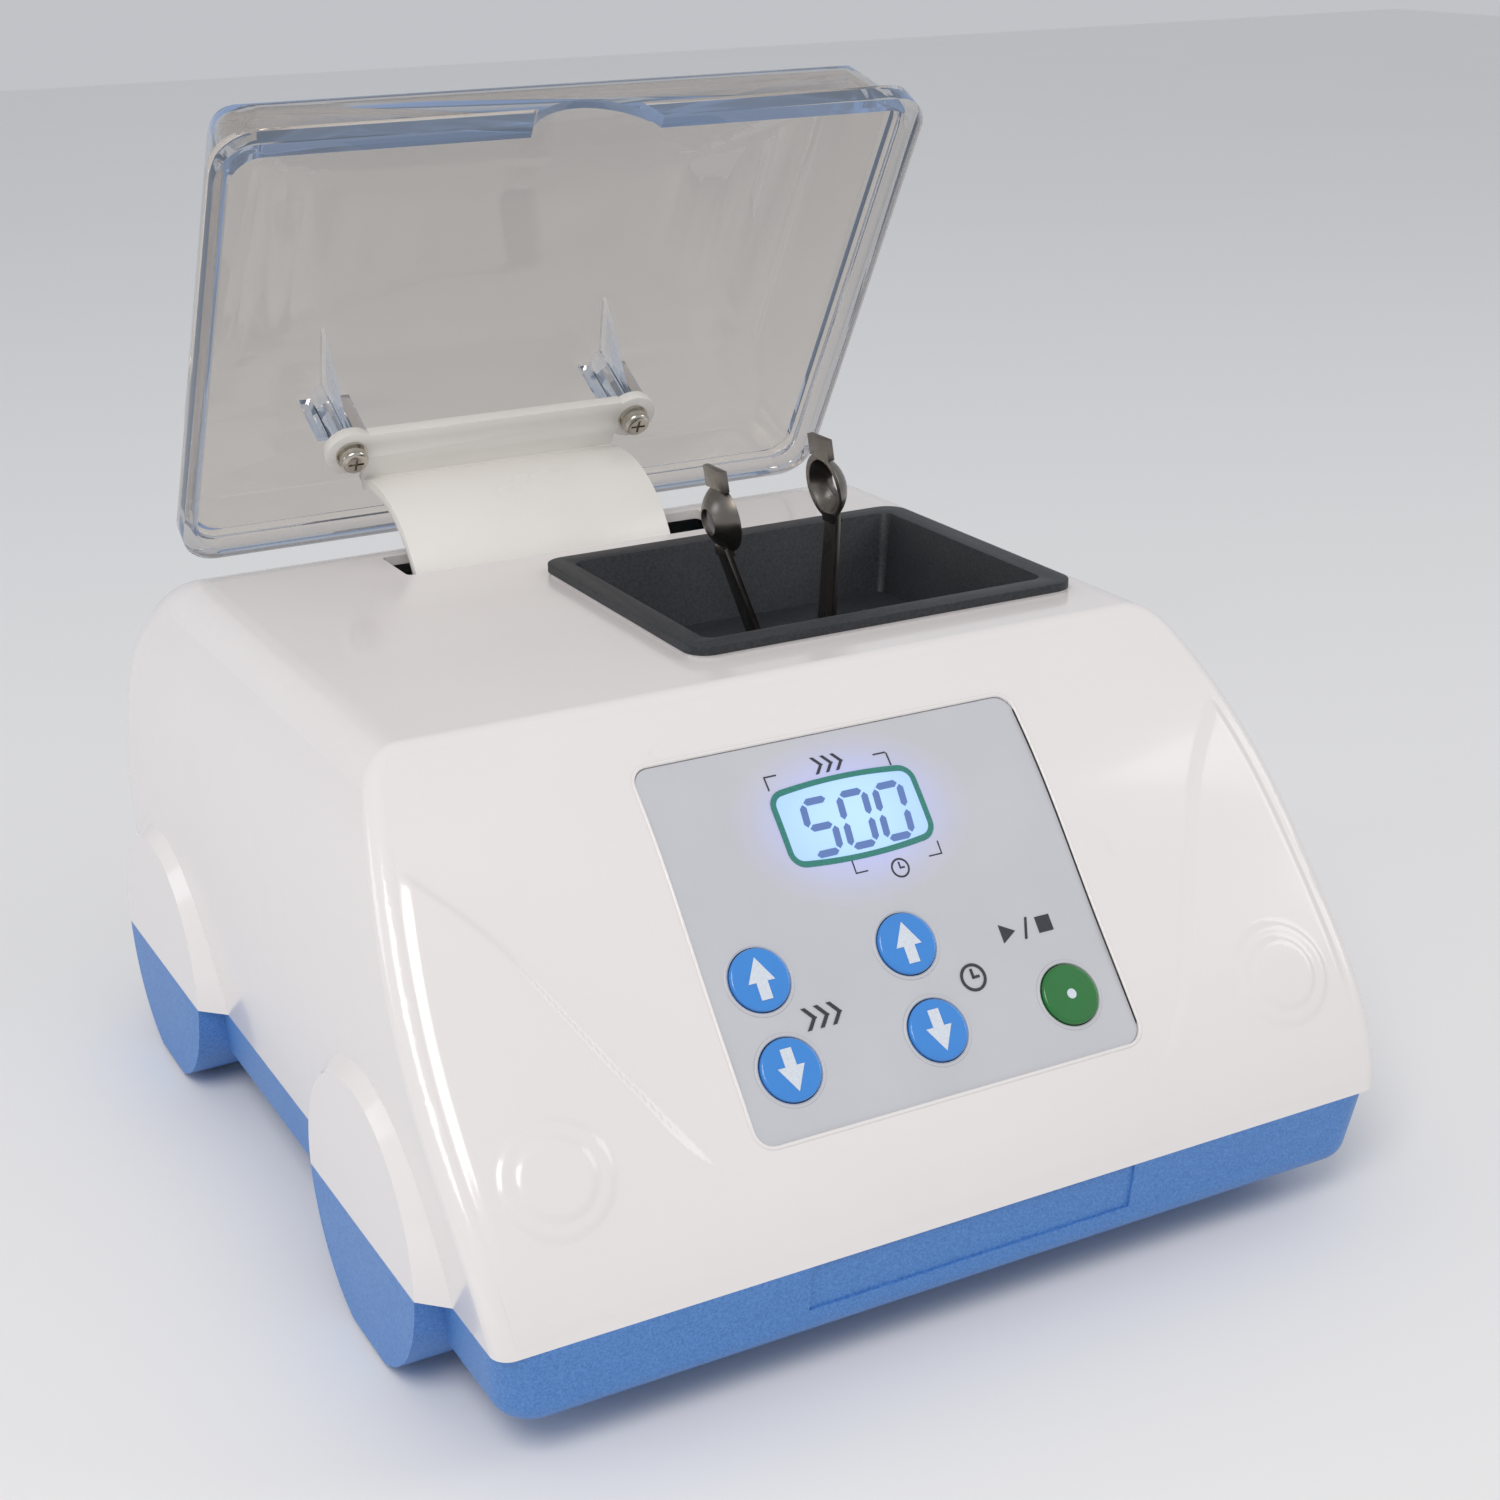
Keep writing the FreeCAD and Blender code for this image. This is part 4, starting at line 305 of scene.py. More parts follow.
# Moulded rubber: dead matte black.
RUBBER = SpeckledFinish("moulded_rubber", "#121212", "#1d1d1d", grain_mm=0.6, relief_mm=0.02,
                        smooth=0.7, rough=0.85)
# Screen ink: flat charcoal.
INK = SpeckledFinish("screen_ink_charcoal", "#2d2f36", "#3a3c44", grain_mm=0.4, relief_mm=0.002,
                     smooth=0.45, rough=0.55)
# Screen ink: teal green around the display.
TEAL_INK = SpeckledFinish("screen_ink_teal", "#2f7d74", "#3b8a7e", grain_mm=0.5, relief_mm=0.002,
                          smooth=0.35, rough=0.45)
# Screen ink: pale grey on the keys.
PALE_INK = SpeckledFinish("screen_ink_pale", "#dfe6ee", "#d2dbe6", grain_mm=0.5, relief_mm=0.002,
                          smooth=0.35, rough=0.45)
# Domed polyester key, sky blue: glossy skin with a slight mottling.
BLUE_KEY = Finish("domed_polyester_blue", "#3f90e2", "#3685d8", drift_mm=5, grain_mm=1.2,
                  relief_mm=0.006, smooth=0.2, rough=0.3, coat=0.5)
# Domed polyester key, leaf green.
GREEN_KEY = Finish("domed_polyester_green", "#1e7a34", "#176a2b", drift_mm=5, grain_mm=1.2,
                   relief_mm=0.006, smooth=0.2, rough=0.3, coat=0.5)
# Liquid-crystal segments: slate blue, slightly see-through against the light.
SEGMENT = Finish("lcd_segment", "#6b88c4", "#627fbb", drift_mm=4, grain_mm=0.5, relief_mm=0.0,
                 smooth=0.3, rough=0.35)
# Matte studio paper.
PAPER = Finish("studio_paper", "#f4f4f4", "#f1f1f1", drift_mm=300, grain_mm=2.0, relief_mm=0.0,
               smooth=0.6, rough=0.7)

# Which of the solid model's nodes wear which finish.
NODE_FINISHES = {
    WHITE_ABS: ["upper_housing"],
    BLUE_ABS: ["lower_housing"],
    NICKEL: ["lid_screws", "lid_washers", "inlet_screws", "inlet_pins"],
    ZINC: ["housing_screws", "board_screws", "lid_magnet", "hinge_pin", "hinge_brackets",
           "bracket_screws", "motor_can", "motor_rotor", "motor_shaft", "motor_screws",
           "drive_shaft", "bearing_inner_rings", "bearing_outer_rings", "skew_hub",
           "balance_weight", "guide_pin", "fork_bolt", "mount_screws", "transformer_core"],
    CAST_ALUMINIUM: ["motor_end_caps", "shaft_coupling", "fork_carrier", "drive_frame", "heat_sink"],
    BRONZE: ["motor_bushes", "wobble_ring"],
    FERRITE: ["motor_magnets"],
    BOARD: ["control_board", "power_board"],
    WINDING: ["transformer_coil"],
    NYLON: ["hinge_spacers", "guide_block"],
    BLACK_NYLON: ["tact_switches", "lid_sensor", "mains_inlet", "fuse_holder", "switch_body",
                  "rocker", "board_capacitors"],
    RUBBER: ["foot_pads", "vibration_mounts"],
    BLUE_KEY: ["key_speed_up", "key_speed_down", "key_timer_up", "key_timer_down"],
    GREEN_KEY: ["key_start"],
}


# ---- modelling helpers ------------------------------------------------------------------
class Operation(Enum):
    """What a tool does to the piece that it meets."""

    CUT = "DIFFERENCE"
    ADD = "UNION"


def deselect() -> None:
    """Leaves edit mode and deselects every object."""
    if bpy.context.object is not None and bpy.context.object.mode != "OBJECT":
        bpy.ops.object.mode_set(mode="OBJECT")
    bpy.ops.object.select_all(action="DESELECT")


def take(piece: bpy.types.Object) -> None:
    """Makes one object the selected and active one.

    Args:
        piece: the object.
    """
    deselect()
    piece.select_set(True)
    bpy.context.view_layer.objects.active = piece


def settle(name: str) -> bpy.types.Object:
    """Names the active new object and bakes its place into its mesh.

    Args:
        name: the piece's name.
    Returns:
        The piece, at the origin, unturned and unscaled.
    """
    piece = bpy.context.object
    piece.name = name
    piece.data.name = name
    bpy.ops.object.transform_apply(location=True, rotation=True, scale=True)
    return piece


def block(name: str, low: tuple[float, float, float],
          high: tuple[float, float, float]) -> bpy.types.Object:
    """Adds a block between two corners.

    Args:
        name: the piece's name.
        low: lowest corner, in metres.
        high: highest corner.
    Returns:
        The piece.
    """
    deselect()
    middle = [(a + b) / 2 for a, b in zip(low, high)]
    size = [b - a for a, b in zip(low, high)]
    bpy.ops.mesh.primitive_cube_add(size=1.0, location=middle, scale=size)
    return settle(name)


def disc(name: str, x: float, y: float, low: float, high: float, radius: float,
         corners: int = ROUND, turn: float = 0.0) -> bpy.types.Object:
    """Adds an upright prism on a round or many-sided outline.

    Args:
        name: the piece's name.
        x: middle, in metres.
        y: middle, in metres.
        low: bottom.
        high: top.
        radius: out to the corners.
        corners: how many sides.
        turn: angle of the first corner, in degrees.
    Returns:
        The piece.
    """
    deselect()
    bpy.ops.mesh.primitive_cylinder_add(vertices=corners, radius=radius, depth=high - low,
                                        location=(x, y, (low + high) / 2),
                                        rotation=(0, 0, math.radians(turn)))
    return settle(name)


def rounded_plate(name: str, left: float, right: float, low: float, high: float, bottom: float,
                  top: float, corner: float) -> bpy.types.Object:
    """Adds a flat plate with round upright corners.

    Args:
        name: the piece's name.
        left: left edge.
        right: right edge.
        low: lower edge.
        high: upper edge.
        bottom: underside.
        top: face.
        corner: corner radius.
    Returns:
        The piece.
    """
    piece = block(name, (left, low, bottom), (right, high, top))
    take(piece)
    bpy.ops.object.mode_set(mode="EDIT")
    bpy.ops.mesh.select_mode(type="EDGE")
    bpy.ops.mesh.select_all(action="DESELECT")
    bpy.ops.object.mode_set(mode="OBJECT")
    nearly_upright = 0.9 * (top - bottom)
    for edge in piece.data.edges:
        a, b = (piece.data.vertices[i].co for i in edge.vertices)
        edge.select = abs(a.z - b.z) > nearly_upright
    bpy.ops.object.mode_set(mode="EDIT")
    bpy.ops.mesh.bevel(offset=corner, segments=CORNER_STEPS, profile=0.5)
    bpy.ops.mesh.select_mode(type="VERT")
    bpy.ops.object.mode_set(mode="OBJECT")
    return piece


def apply_modifiers(piece: bpy.types.Object) -> None:
    """Applies every modifier of a piece in order.

    Args:
        piece: the piece.
    """
    take(piece)
    for modifier in list(piece.modifiers):
        bpy.ops.object.modifier_apply(modifier=modifier.name)


def smooth(piece: bpy.types.Object, angle: float) -> None:
    """Shades a piece smooth where its faces meet at less than an angle in degrees."""
    take(piece)
    bpy.ops.object.shade_smooth_by_angle(angle=math.radians(angle))


def round_edges(piece: bpy.types.Object, width: float, segments: int = 2,
                angle: float = SHARP) -> None:
    """Rounds the edges sharper than an angle and shades the piece smooth.

    Args:
        piece: the piece.
        width: bevel width in metres.
        segments: steps of the bevel.
        angle: degrees.
    """
    bevel = piece.modifiers.new("edge", "BEVEL")
    bevel.width = width
    bevel.segments = segments
    bevel.limit_method = "ANGLE"
    bevel.angle_limit = math.radians(angle)
    bevel.use_clamp_overlap = True
    apply_modifiers(piece)
    smooth(piece, angle)


def cut(piece: bpy.types.Object, tool: bpy.types.Object, operation: Operation = Operation.CUT) -> None:
    """Cuts a tool out of a piece, or adds it, and removes the tool.

    Args:
        piece: what is cut.
        tool: the cutter.
        operation: what the tool does.
    """
    boolean = piece.modifiers.new("cut", "BOOLEAN")
    boolean.object = tool
    boolean.operation = operation.value
    boolean.solver = "EXACT"
    apply_modifiers(piece)
    bpy.data.objects.remove(tool)


def join(name: str, pieces: list[bpy.types.Object]) -> bpy.types.Object:
    """Joins pieces into one object with a name.

    Args:
        name: the joined piece's name.
        pieces: what is joined.
    Returns:
        The joined piece.
    """
    deselect()
    for piece in pieces:
        piece.select_set(True)
    bpy.context.view_layer.objects.active = pieces[0]
    bpy.ops.object.join()
    return settle(name)


def slice_rows(piece: bpy.types.Object, step: float) -> None:
    """Bisects a flat piece across its Y direction every step, so that it can bend.

    Args:
        piece: the piece.
        step: row height in metres.
    """
    heights = [vertex.co.y for vertex in piece.data.vertices]
    low, high = min(heights), max(heights)
    take(piece)
    bpy.ops.object.mode_set(mode="EDIT")
    for row in range(1, int((high - low) / step) + 1):
        bpy.ops.mesh.select_all(action="SELECT")
        bpy.ops.mesh.bisect(plane_co=(0, low + row * step, 0), plane_no=(0, 1, 0))
    bpy.ops.object.mode_set(mode="OBJECT")


def rounded_copy(node: str, name: str, width: float) -> bpy.types.Object:
    """Makes a piece from a CAD node's solid: merged, cleaned and with rounded edges.

    Args:
        node: the CAD node.
        name: the piece's name.
        width: edge radius in metres.
    Returns:
        The piece, which stands for the node.
    """
    piece = bpy.data.objects.new(name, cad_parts[node].data.copy())
    bpy.context.scene.collection.objects.link(piece)
    take(piece)
    if piece.data.has_custom_normals:
        bpy.ops.mesh.customdata_custom_splitnormals_clear()
    bpy.ops.object.mode_set(mode="EDIT")
    bpy.ops.mesh.select_all(action="SELECT")
    bpy.ops.mesh.remove_doubles(threshold=MERGE)
    bpy.ops.mesh.dissolve_limited(angle_limit=math.radians(LEVEL))
    bpy.ops.object.mode_set(mode="OBJECT")
    round_edges(piece, width)
    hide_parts(node)
    return piece


def dress(piece: bpy.types.Object, material: bpy.types.Material) -> None:
    """Gives a piece one material."""
    piece.data.materials.clear()
    piece.data.materials.append(material)


def place(piece: bpy.types.Object, material: bpy.types.Material, body: str, slot: str) -> None:
    """Finishes a new piece: its material and its body.

    Args:
        piece: the piece.
        material: its finish.
        body: the CAD body that it moves with.
        slot: not used.
    """
    dress(piece, material)
    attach(piece, body)
    log.info("%s: %d faces on %s", piece.name, len(piece.data.polygons), body)


def read_points(piece: bpy.types.Object) -> np.ndarray:
    """Reads where a piece's vertices are.

    Args:
        piece: the piece.
    Returns:
        Three rows: every X, every Y and every Z.
    """
    flat = np.empty(len(piece.data.vertices) * 3)
    piece.data.vertices.foreach_get("co", flat)
    return flat.reshape(-1, 3).T


def write_points(piece: bpy.types.Object, rows: list[np.ndarray]) -> None:
    """Moves a piece's vertices to every X, Y and Z of three rows."""
    piece.data.vertices.foreach_set("co", np.column_stack(rows).ravel())
    piece.data.update()


def surface(node: str) -> BVHTree:
    """Search tree of a CAD node's faces, for casting rays at them."""
    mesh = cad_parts[node].data
    return BVHTree.FromPolygons([v.co for v in mesh.vertices], [tuple(p.vertices) for p in mesh.polygons])


def smoothstep(value: np.ndarray) -> np.ndarray:
    """Smooth step from 0 to 1 over the same range, flat outside it."""
    t = np.clip(value, 0.0, 1.0)
    return t * t * (3 - 2 * t)


def through(points: list[tuple[float, float]], spans: int = 12) -> np.ndarray:
    """Smooth path through points.

    Args:
        points: the points, in order.
        spans: steps between two points.
    Returns:
        The path's points, one a row.
    """
    p = np.array([points[0], *points, points[-1]], float)
    t = np.linspace(0, 1, spans, endpoint=False)[:, None]
    rows = []
    for a, b, c, d in zip(p[:-3], p[1:-2], p[2:-1], p[3:]):
        rows.append(0.5 * (2 * b + (c - a) * t + (2 * a - 5 * b + 4 * c - d) * t ** 2
                           + (3 * b - a - 3 * c + d) * t ** 3))
    return np.vstack([*rows, p[-1:]])


# ---- the sloping front ------------------------------------------------------------------
@dataclass
class FrontFace:
    """The housing's sloping front, along which flat pieces are laid.

    A flat piece has X across, Y up the slope from the joint line and Z out of the face.
    """

    node: str
    rim_drop: float = 3.0 * MM         # the slope ends this far below the tray's top
    low_gap: float = 0.5 * MM          # its profile is read from here above the joint line
    high_gap: float = 2.0 * MM         # and up to here below the slope's end
    aside: float = 0.8                 # at this share of the half width, beside the panel
    width_gaps: tuple[float, float] = (3 * MM, 9 * MM)
    width_depth: float = 8 * MM        # the width is read this far behind the face
    outside: float = 1.0               # rays start here, well clear of the box
    profile_fit: tuple[int, int] = (70, 6)     # readings and degree of the profile's curve
    width_fit: tuple[int, int] = (40, 4)       # the same for the width
    table_steps: int = 600

    def __post_init__(self) -> None:
        """Reads the face's profile and the box's width from the housing."""
        tree = surface(self.node)
        self.seam_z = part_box("lower_housing")[1].z
        self.top_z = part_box("mixing_tray")[1].z - self.rim_drop
        x = self.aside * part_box(self.node)[0].x
        readings, degree = self.profile_fit
        heights = np.linspace(self.seam_z + self.low_gap, self.top_z - self.high_gap, readings)
        hits = [tree.ray_cast(Vector((x, -self.outside, z)), Vector((0, 1, 0)))[0] for z in heights]
        self.profile = np.polyfit(heights, [hit.y for hit in hits], degree)
        low_gap, high_gap = self.width_gaps
        readings, degree = self.width_fit
        widths = np.linspace(self.seam_z + low_gap, self.top_z - high_gap, readings)
        sides = [tree.ray_cast(Vector((self.outside, self.y_at(z) + self.width_depth, z)),
                               Vector((-1, 0, 0)))[0] for z in widths]
        self.half = np.polyfit(widths, [hit.x for hit in sides], degree)
        self.z_table = np.linspace(self.seam_z, self.top_z, self.table_steps)
        step = np.hypot(np.diff(self.z_table), np.diff(self.y_at(self.z_table)))
        self.v_table = np.concatenate([[0.0], np.cumsum(step)])

    def y_at(self, z: np.ndarray | float) -> np.ndarray | float:
        """Place of the face at a height."""
        return np.polyval(self.profile, z)

    def slope_at(self, z: np.ndarray | float) -> np.ndarray | float:
        """How fast the face falls back at a height."""
        return np.polyval(np.polyder(self.profile), z)

    def v_at(self, z: float) -> float:
        """Length up the slope at a height."""
        return float(np.interp(z, self.z_table, self.v_table))

    def z_at(self, v: np.ndarray) -> np.ndarray:
        """Height at a length up the slope."""
        return np.interp(v, self.v_table, self.z_table)

    def half_at(self, v: np.ndarray) -> np.ndarray:
        """Half width of the box at a length up the slope."""
        return np.polyval(self.half, self.z_at(v))

    def bend(self, piece: bpy.types.Object) -> None:
        """Lays a flat piece onto the curved face.

        Args:
            piece: the piece, with enough rows to follow the curve.
        """
        x, v, out = read_points(piece)
        z = self.z_at(v)
        slope = self.slope_at(z)
        length = np.hypot(1.0, slope)
        write_points(piece, [x, self.y_at(z) - out / length, z + out * slope / length])

    def stand(self, piece: bpy.types.Object, x: float, z: float, out: float) -> None:
        """Places a flat piece, modelled about the origin, on the face's tangent plane.

        Args:
            piece: the piece.
            x: across.
            z: height of the middle.
            out: how far off the face.
        """
        slope = float(self.slope_at(z))
        length = math.hypot(1.0, slope)
        up = Vector((0, slope / length, 1 / length))
        normal = Vector((0, -1 / length, slope / length))
        spot = Vector((x, float(self.y_at(z)), z)) + normal * out
        turn = Matrix(((1, 0, 0), (0, up.y, normal.y), (0, up.z, normal.z))).to_4x4()
        piece.data.transform(Matrix.Translation(spot) @ turn)
        piece.data.update()


@dataclass
class Fascia:
    """Moulded relief of the housing's front: the bowed crease and the two round bosses."""

    face: FrontFace
    material: bpy.types.Material
    columns: int = 210
    rows: int = 156
    gather: float = 0.8                # brings the columns closer together towards the sides
    skin: float = 0.06 * MM            # height over the solid, half of it along the border
    wall: float = 0.35 * MM
    edge: float = 4.4 * MM             # the skin stops this far from the side
    low_gap: float = 0.4 * MM          # and this far above the joint line
    high_gap: float = 2.2 * MM
    borders: tuple[float, float, float] = (3 * MM, 7 * MM, 4 * MM)   # fade at the side, below and above
    reach: float = 3 * MM              # how far the panel's cutter stands out on both faces
    crease_step: float = 0.9 * MM
    crease_width: float = 1.9 * MM
    crease_start: float = 44 * MM      # height where the crease starts to rise
    crease_rise: float = 22 * MM       # length over which it reaches its full step
    boss_x: float = 92 * MM
    boss_z: float = 58 * MM
    boss_radii: tuple[float, float] = (12.6 * MM, 8.8 * MM)
    boss_step: float = 0.55 * MM
    boss_width: float = 1.3 * MM
    crease: tuple[tuple[float, float], ...] = ((0.0, 40.0), (38.0, 43.0), (57.0, 53.0), (69.0, 68.0),
                                               (78.0, 81.0), (90.0, 98.0), (108.0, 114.0))

    def relief(self, x: np.ndarray, v: np.ndarray) -> np.ndarray:
        """Height of the relief over the plain face.

        Args:
            x: across.
            v: up the slope.
        Returns:
            Heights in metres.
        """
        path = through([(px * MM, self.face.v_at(pz * MM)) for px, pz in self.crease])
        start, along = path[:-1], np.diff(path, axis=0)
        spot = np.column_stack([np.abs(x), v])
        away = np.full(len(x), np.inf)
        for origin, span in zip(start, along):
            share = np.clip((spot - origin) @ span / (span @ span), 0, 1)
            away = np.minimum(away, np.linalg.norm(spot - origin - share[:, None] * span, axis=1))
        outside = np.abs(x) > np.interp(v, path[:, 1], path[:, 0])
        signed = np.where(outside, away, -away)
        rise = smoothstep((v - self.face.v_at(self.crease_start)) / self.crease_rise)
        height = self.crease_step * rise * smoothstep(signed / self.crease_width)
        radius = np.hypot(np.abs(x) - self.boss_x, v - self.face.v_at(self.boss_z))
        for edge in self.boss_radii:
            height += self.boss_step * smoothstep((edge - radius) / self.boss_width)
        return height

    def make(self, panel: tuple[float, float, float, float], corner: float) -> None:
        """Makes the skin with its opening for the panel.

        Args:
            panel: the opening's left, right, low and high edges, flat.
            corner: the opening's corner radius.
        """
        deselect()
        bpy.ops.mesh.primitive_grid_add(x_subdivisions=self.columns, y_subdivisions=self.rows, size=2.0)
        piece = settle("front_fascia")
        u, t, level = read_points(piece)
        low = self.face.v_at(self.face.seam_z + self.low_gap)
        high = self.face.v_at(self.face.top_z - self.high_gap)
        v = low + (t + 1) / 2 * (high - low)
        gather = self.gather * math.pi / 2
        x = (self.face.half_at(v) - self.edge) * np.sin(gather * u) / math.sin(gather)
        write_points(piece, [x, v, level])
        solid = piece.modifiers.new("wall", "SOLIDIFY")
        solid.thickness = self.wall
        solid.offset = -1.0
        apply_modifiers(piece)
        cut(piece, rounded_plate("opening", *panel, -self.reach, self.reach, corner))
        x, v, out = read_points(piece)
        side = self.face.half_at(v) - self.edge - np.abs(x)
        inwards = [away / fade for away, fade in zip((side, v - low, high - v), self.borders)]
        border = smoothstep(np.minimum.reduce(inwards))
        out = out + self.skin * (1 + border) / 2 + border * self.relief(x, v)
        write_points(piece, [x, v, out])
        self.face.bend(piece)
        smooth(piece, CURVED)
        place(piece, self.material, BODY, "housing_white")


# ---- key panel --------------------------------------------------------------------------
def ink_bar(left: float, right: float, low: float, high: float) -> bpy.types.Object:
    """Adds a flat bar of ink on the film, between four edges."""
    return block("bar", (left, low, FILM - SINK), (right, high, FILM + INK_T))


def lay(face: FrontFace, piece: bpy.types.Object) -> None:
    """Cuts a flat piece into rows and bends it onto the face."""
    slice_rows(piece, ROW)
    face.bend(piece)


@dataclass
class Panel:
    """Key panel: its moulded lip and the marks printed on its film."""

    face: FrontFace
    ink: bpy.types.Material
    left: float = -47.65 * MM
    right: float = 50.15 * MM
    low_z: float = 53.6 * MM
    high_z: float = 118.3 * MM
    corner: float = 4.0 * MM
    gap: float = 0.15 * MM             # between the film's opening and the film
    lip_width: float = 0.9 * MM
    lip_height: float = 0.42 * MM
    lip_round: float = 0.38 * MM
    line: float = 0.32 * MM            # width of the brackets' lines
    leg: float = 3.2 * MM              # length of the brackets' lines
    above: tuple[float, float, float] = (-17.8 * MM, 13.6 * MM, 112.9 * MM)   # left, right and height
    below: tuple[float, float, float] = (-4.6 * MM, 17.6 * MM, 93.6 * MM)     # of the two brackets

    def outline(self) -> tuple[float, float, float, float]:
        """The panel's opening: left, right, low and high edges, flat."""
        low, high = self.face.v_at(self.low_z), self.face.v_at(self.high_z)
        return self.left, self.right, low - self.gap, high + self.gap

    def lip(self, material: bpy.types.Material) -> None:
        """Makes the rounded lip around the panel's recess.

        Args:
            material: the housing's finish.
        """
        left, right, low, high = self.outline()
        wide, top = self.lip_width, self.lip_height
        ring = rounded_plate("panel_lip", left - wide, right + wide, low - wide, high + wide,
                             -wide, top, self.corner + wide)
        cut(ring, rounded_plate("hole", left, right, low, high, -wide - MM, top + MM, self.corner))
        round_edges(ring, self.lip_round, segments=3, angle=STEEP)
        slice_rows(ring, LIP_ROW)
        self.face.bend(ring)
        smooth(ring, CURVED)
        place(ring, material, BODY, "housing_white")

    def finish_print(self, name: str, bars: list[bpy.types.Object]) -> None:
        """Joins flat marks, bends them onto the film and dresses them.

        Args:
            name: the printed piece's name.
            bars: its flat parts.
        """
        mark = join(name, bars)
        lay(self.face, mark)
        place(mark, self.ink, BODY, "overlay_silver")

    def brackets(self) -> None:
        """Makes the thin corner lines that tie two marks to the display."""
        bars = []
        for (left, right, z), way in ((self.above, -1), (self.below, 1)):
            v = self.face.v_at(z)
            ends = sorted((v, v + way * self.leg))
            for x, into in ((left, 1), (right, -1)):
                bars.append(ink_bar(*sorted((x, x + into * self.leg)), v, v + self.line))
                bars.append(ink_bar(x, x + self.line, *ends))
        self.finish_print("panel_brackets", bars)

    def chevrons(self, name: str, x: float, z: float, size: float) -> None:
        """Makes a speed mark: a row of three pointed bars.

        Args:
            name: the piece's name.
            x: middle.
            z: height of the middle.
            size: height of a bar.
        """
        v = self.face.v_at(z)
        pitch, half_stroke, overlap, tip, lean = 0.62 * size, 0.1 * size, 0.03 * size, 0.25 * size, 0.8
        bars = []
        for start in (x - pitch, x, x + pitch):
            for way in (-1, 1):
                bar = ink_bar(start - half_stroke, start + half_stroke, v - overlap, v + size / 2)
                for vertex in bar.data.vertices:
                    rise = vertex.co.y - v
                    vertex.co.x += tip - lean * rise
                    vertex.co.y = v + way * rise
                if way < 0:
                    bar.data.flip_normals()
                bars.append(bar)
        self.finish_print(name, bars)

    def clock(self, name: str, x: float, z: float, radius: float) -> None:
        """Makes a time mark: a ring with two hands.

        Args:
            name: the piece's name.
            x: middle.
            z: height of the middle.
            radius: of the ring's outside.
        """
        v = self.face.v_at(z)
        inside, half_hand, long_hand, short_hand = 0.8 * radius, 0.09 * radius, 0.62 * radius, 0.5 * radius
        ring = disc("ring", x, v, FILM - SINK, FILM + INK_T, radius)
        cut(ring, disc("hole", x, v, FILM - SINK - MM, FILM + INK_T + MM, inside))
        hands = [ink_bar(x - half_hand, x + half_hand, v - half_hand, v + long_hand),
                 ink_bar(x - half_hand, x + short_hand, v - half_hand, v + half_hand)]
        self.finish_print(name, [ring, *hands])

    def start_stop(self, x: float, z: float, size: float) -> None:
        """Makes the start and stop mark: a triangle, a stroke and a square.

        Args:
            x: middle.
            z: height of the middle.
            size: of its figures.
        """
        v = self.face.v_at(z)
        triangle_x, triangle_r = x - 1.35 * size, 0.62 * size
        half_stroke, stroke_end, lean = 0.08 * size, 0.6 * size, 0.35
        square_left, square_right, half_square = x + 0.75 * size, x + 1.7 * size, 0.47 * size
        triangle = disc("triangle", triangle_x, v, FILM - SINK, FILM + INK_T, triangle_r,
                        corners=3, turn=-90.0)
        stroke = ink_bar(x - half_stroke, x + half_stroke, v - stroke_end, v + stroke_end)
        for vertex in stroke.data.vertices:
            vertex.co.x += lean * (vertex.co.y - v)
        square = ink_bar(square_left, square_right, v - half_square, v + half_square)
        self.finish_print("mark_start_stop", [triangle, stroke, square])

    def make(self, lip_material: bpy.types.Material) -> None:
        """Makes the lip and every printed mark.

        Args:
            lip_material: the housing's finish.
        """
        self.lip(lip_material)
        self.brackets()
        self.chevrons("mark_speed_above", x=-1.5 * MM, z=113.2 * MM, size=4.2 * MM)
        self.clock("mark_time_below", x=6.5 * MM, z=92.9 * MM, radius=2.3 * MM)
        self.chevrons("mark_speed", x=-23.8 * MM, z=71.8 * MM, size=5.0 * MM)
        self.clock("mark_time", x=14.6 * MM, z=71.5 * MM, radius=3.2 * MM)
        self.start_stop(x=31.8 * MM, z=77.4 * MM, size=4.0 * MM)


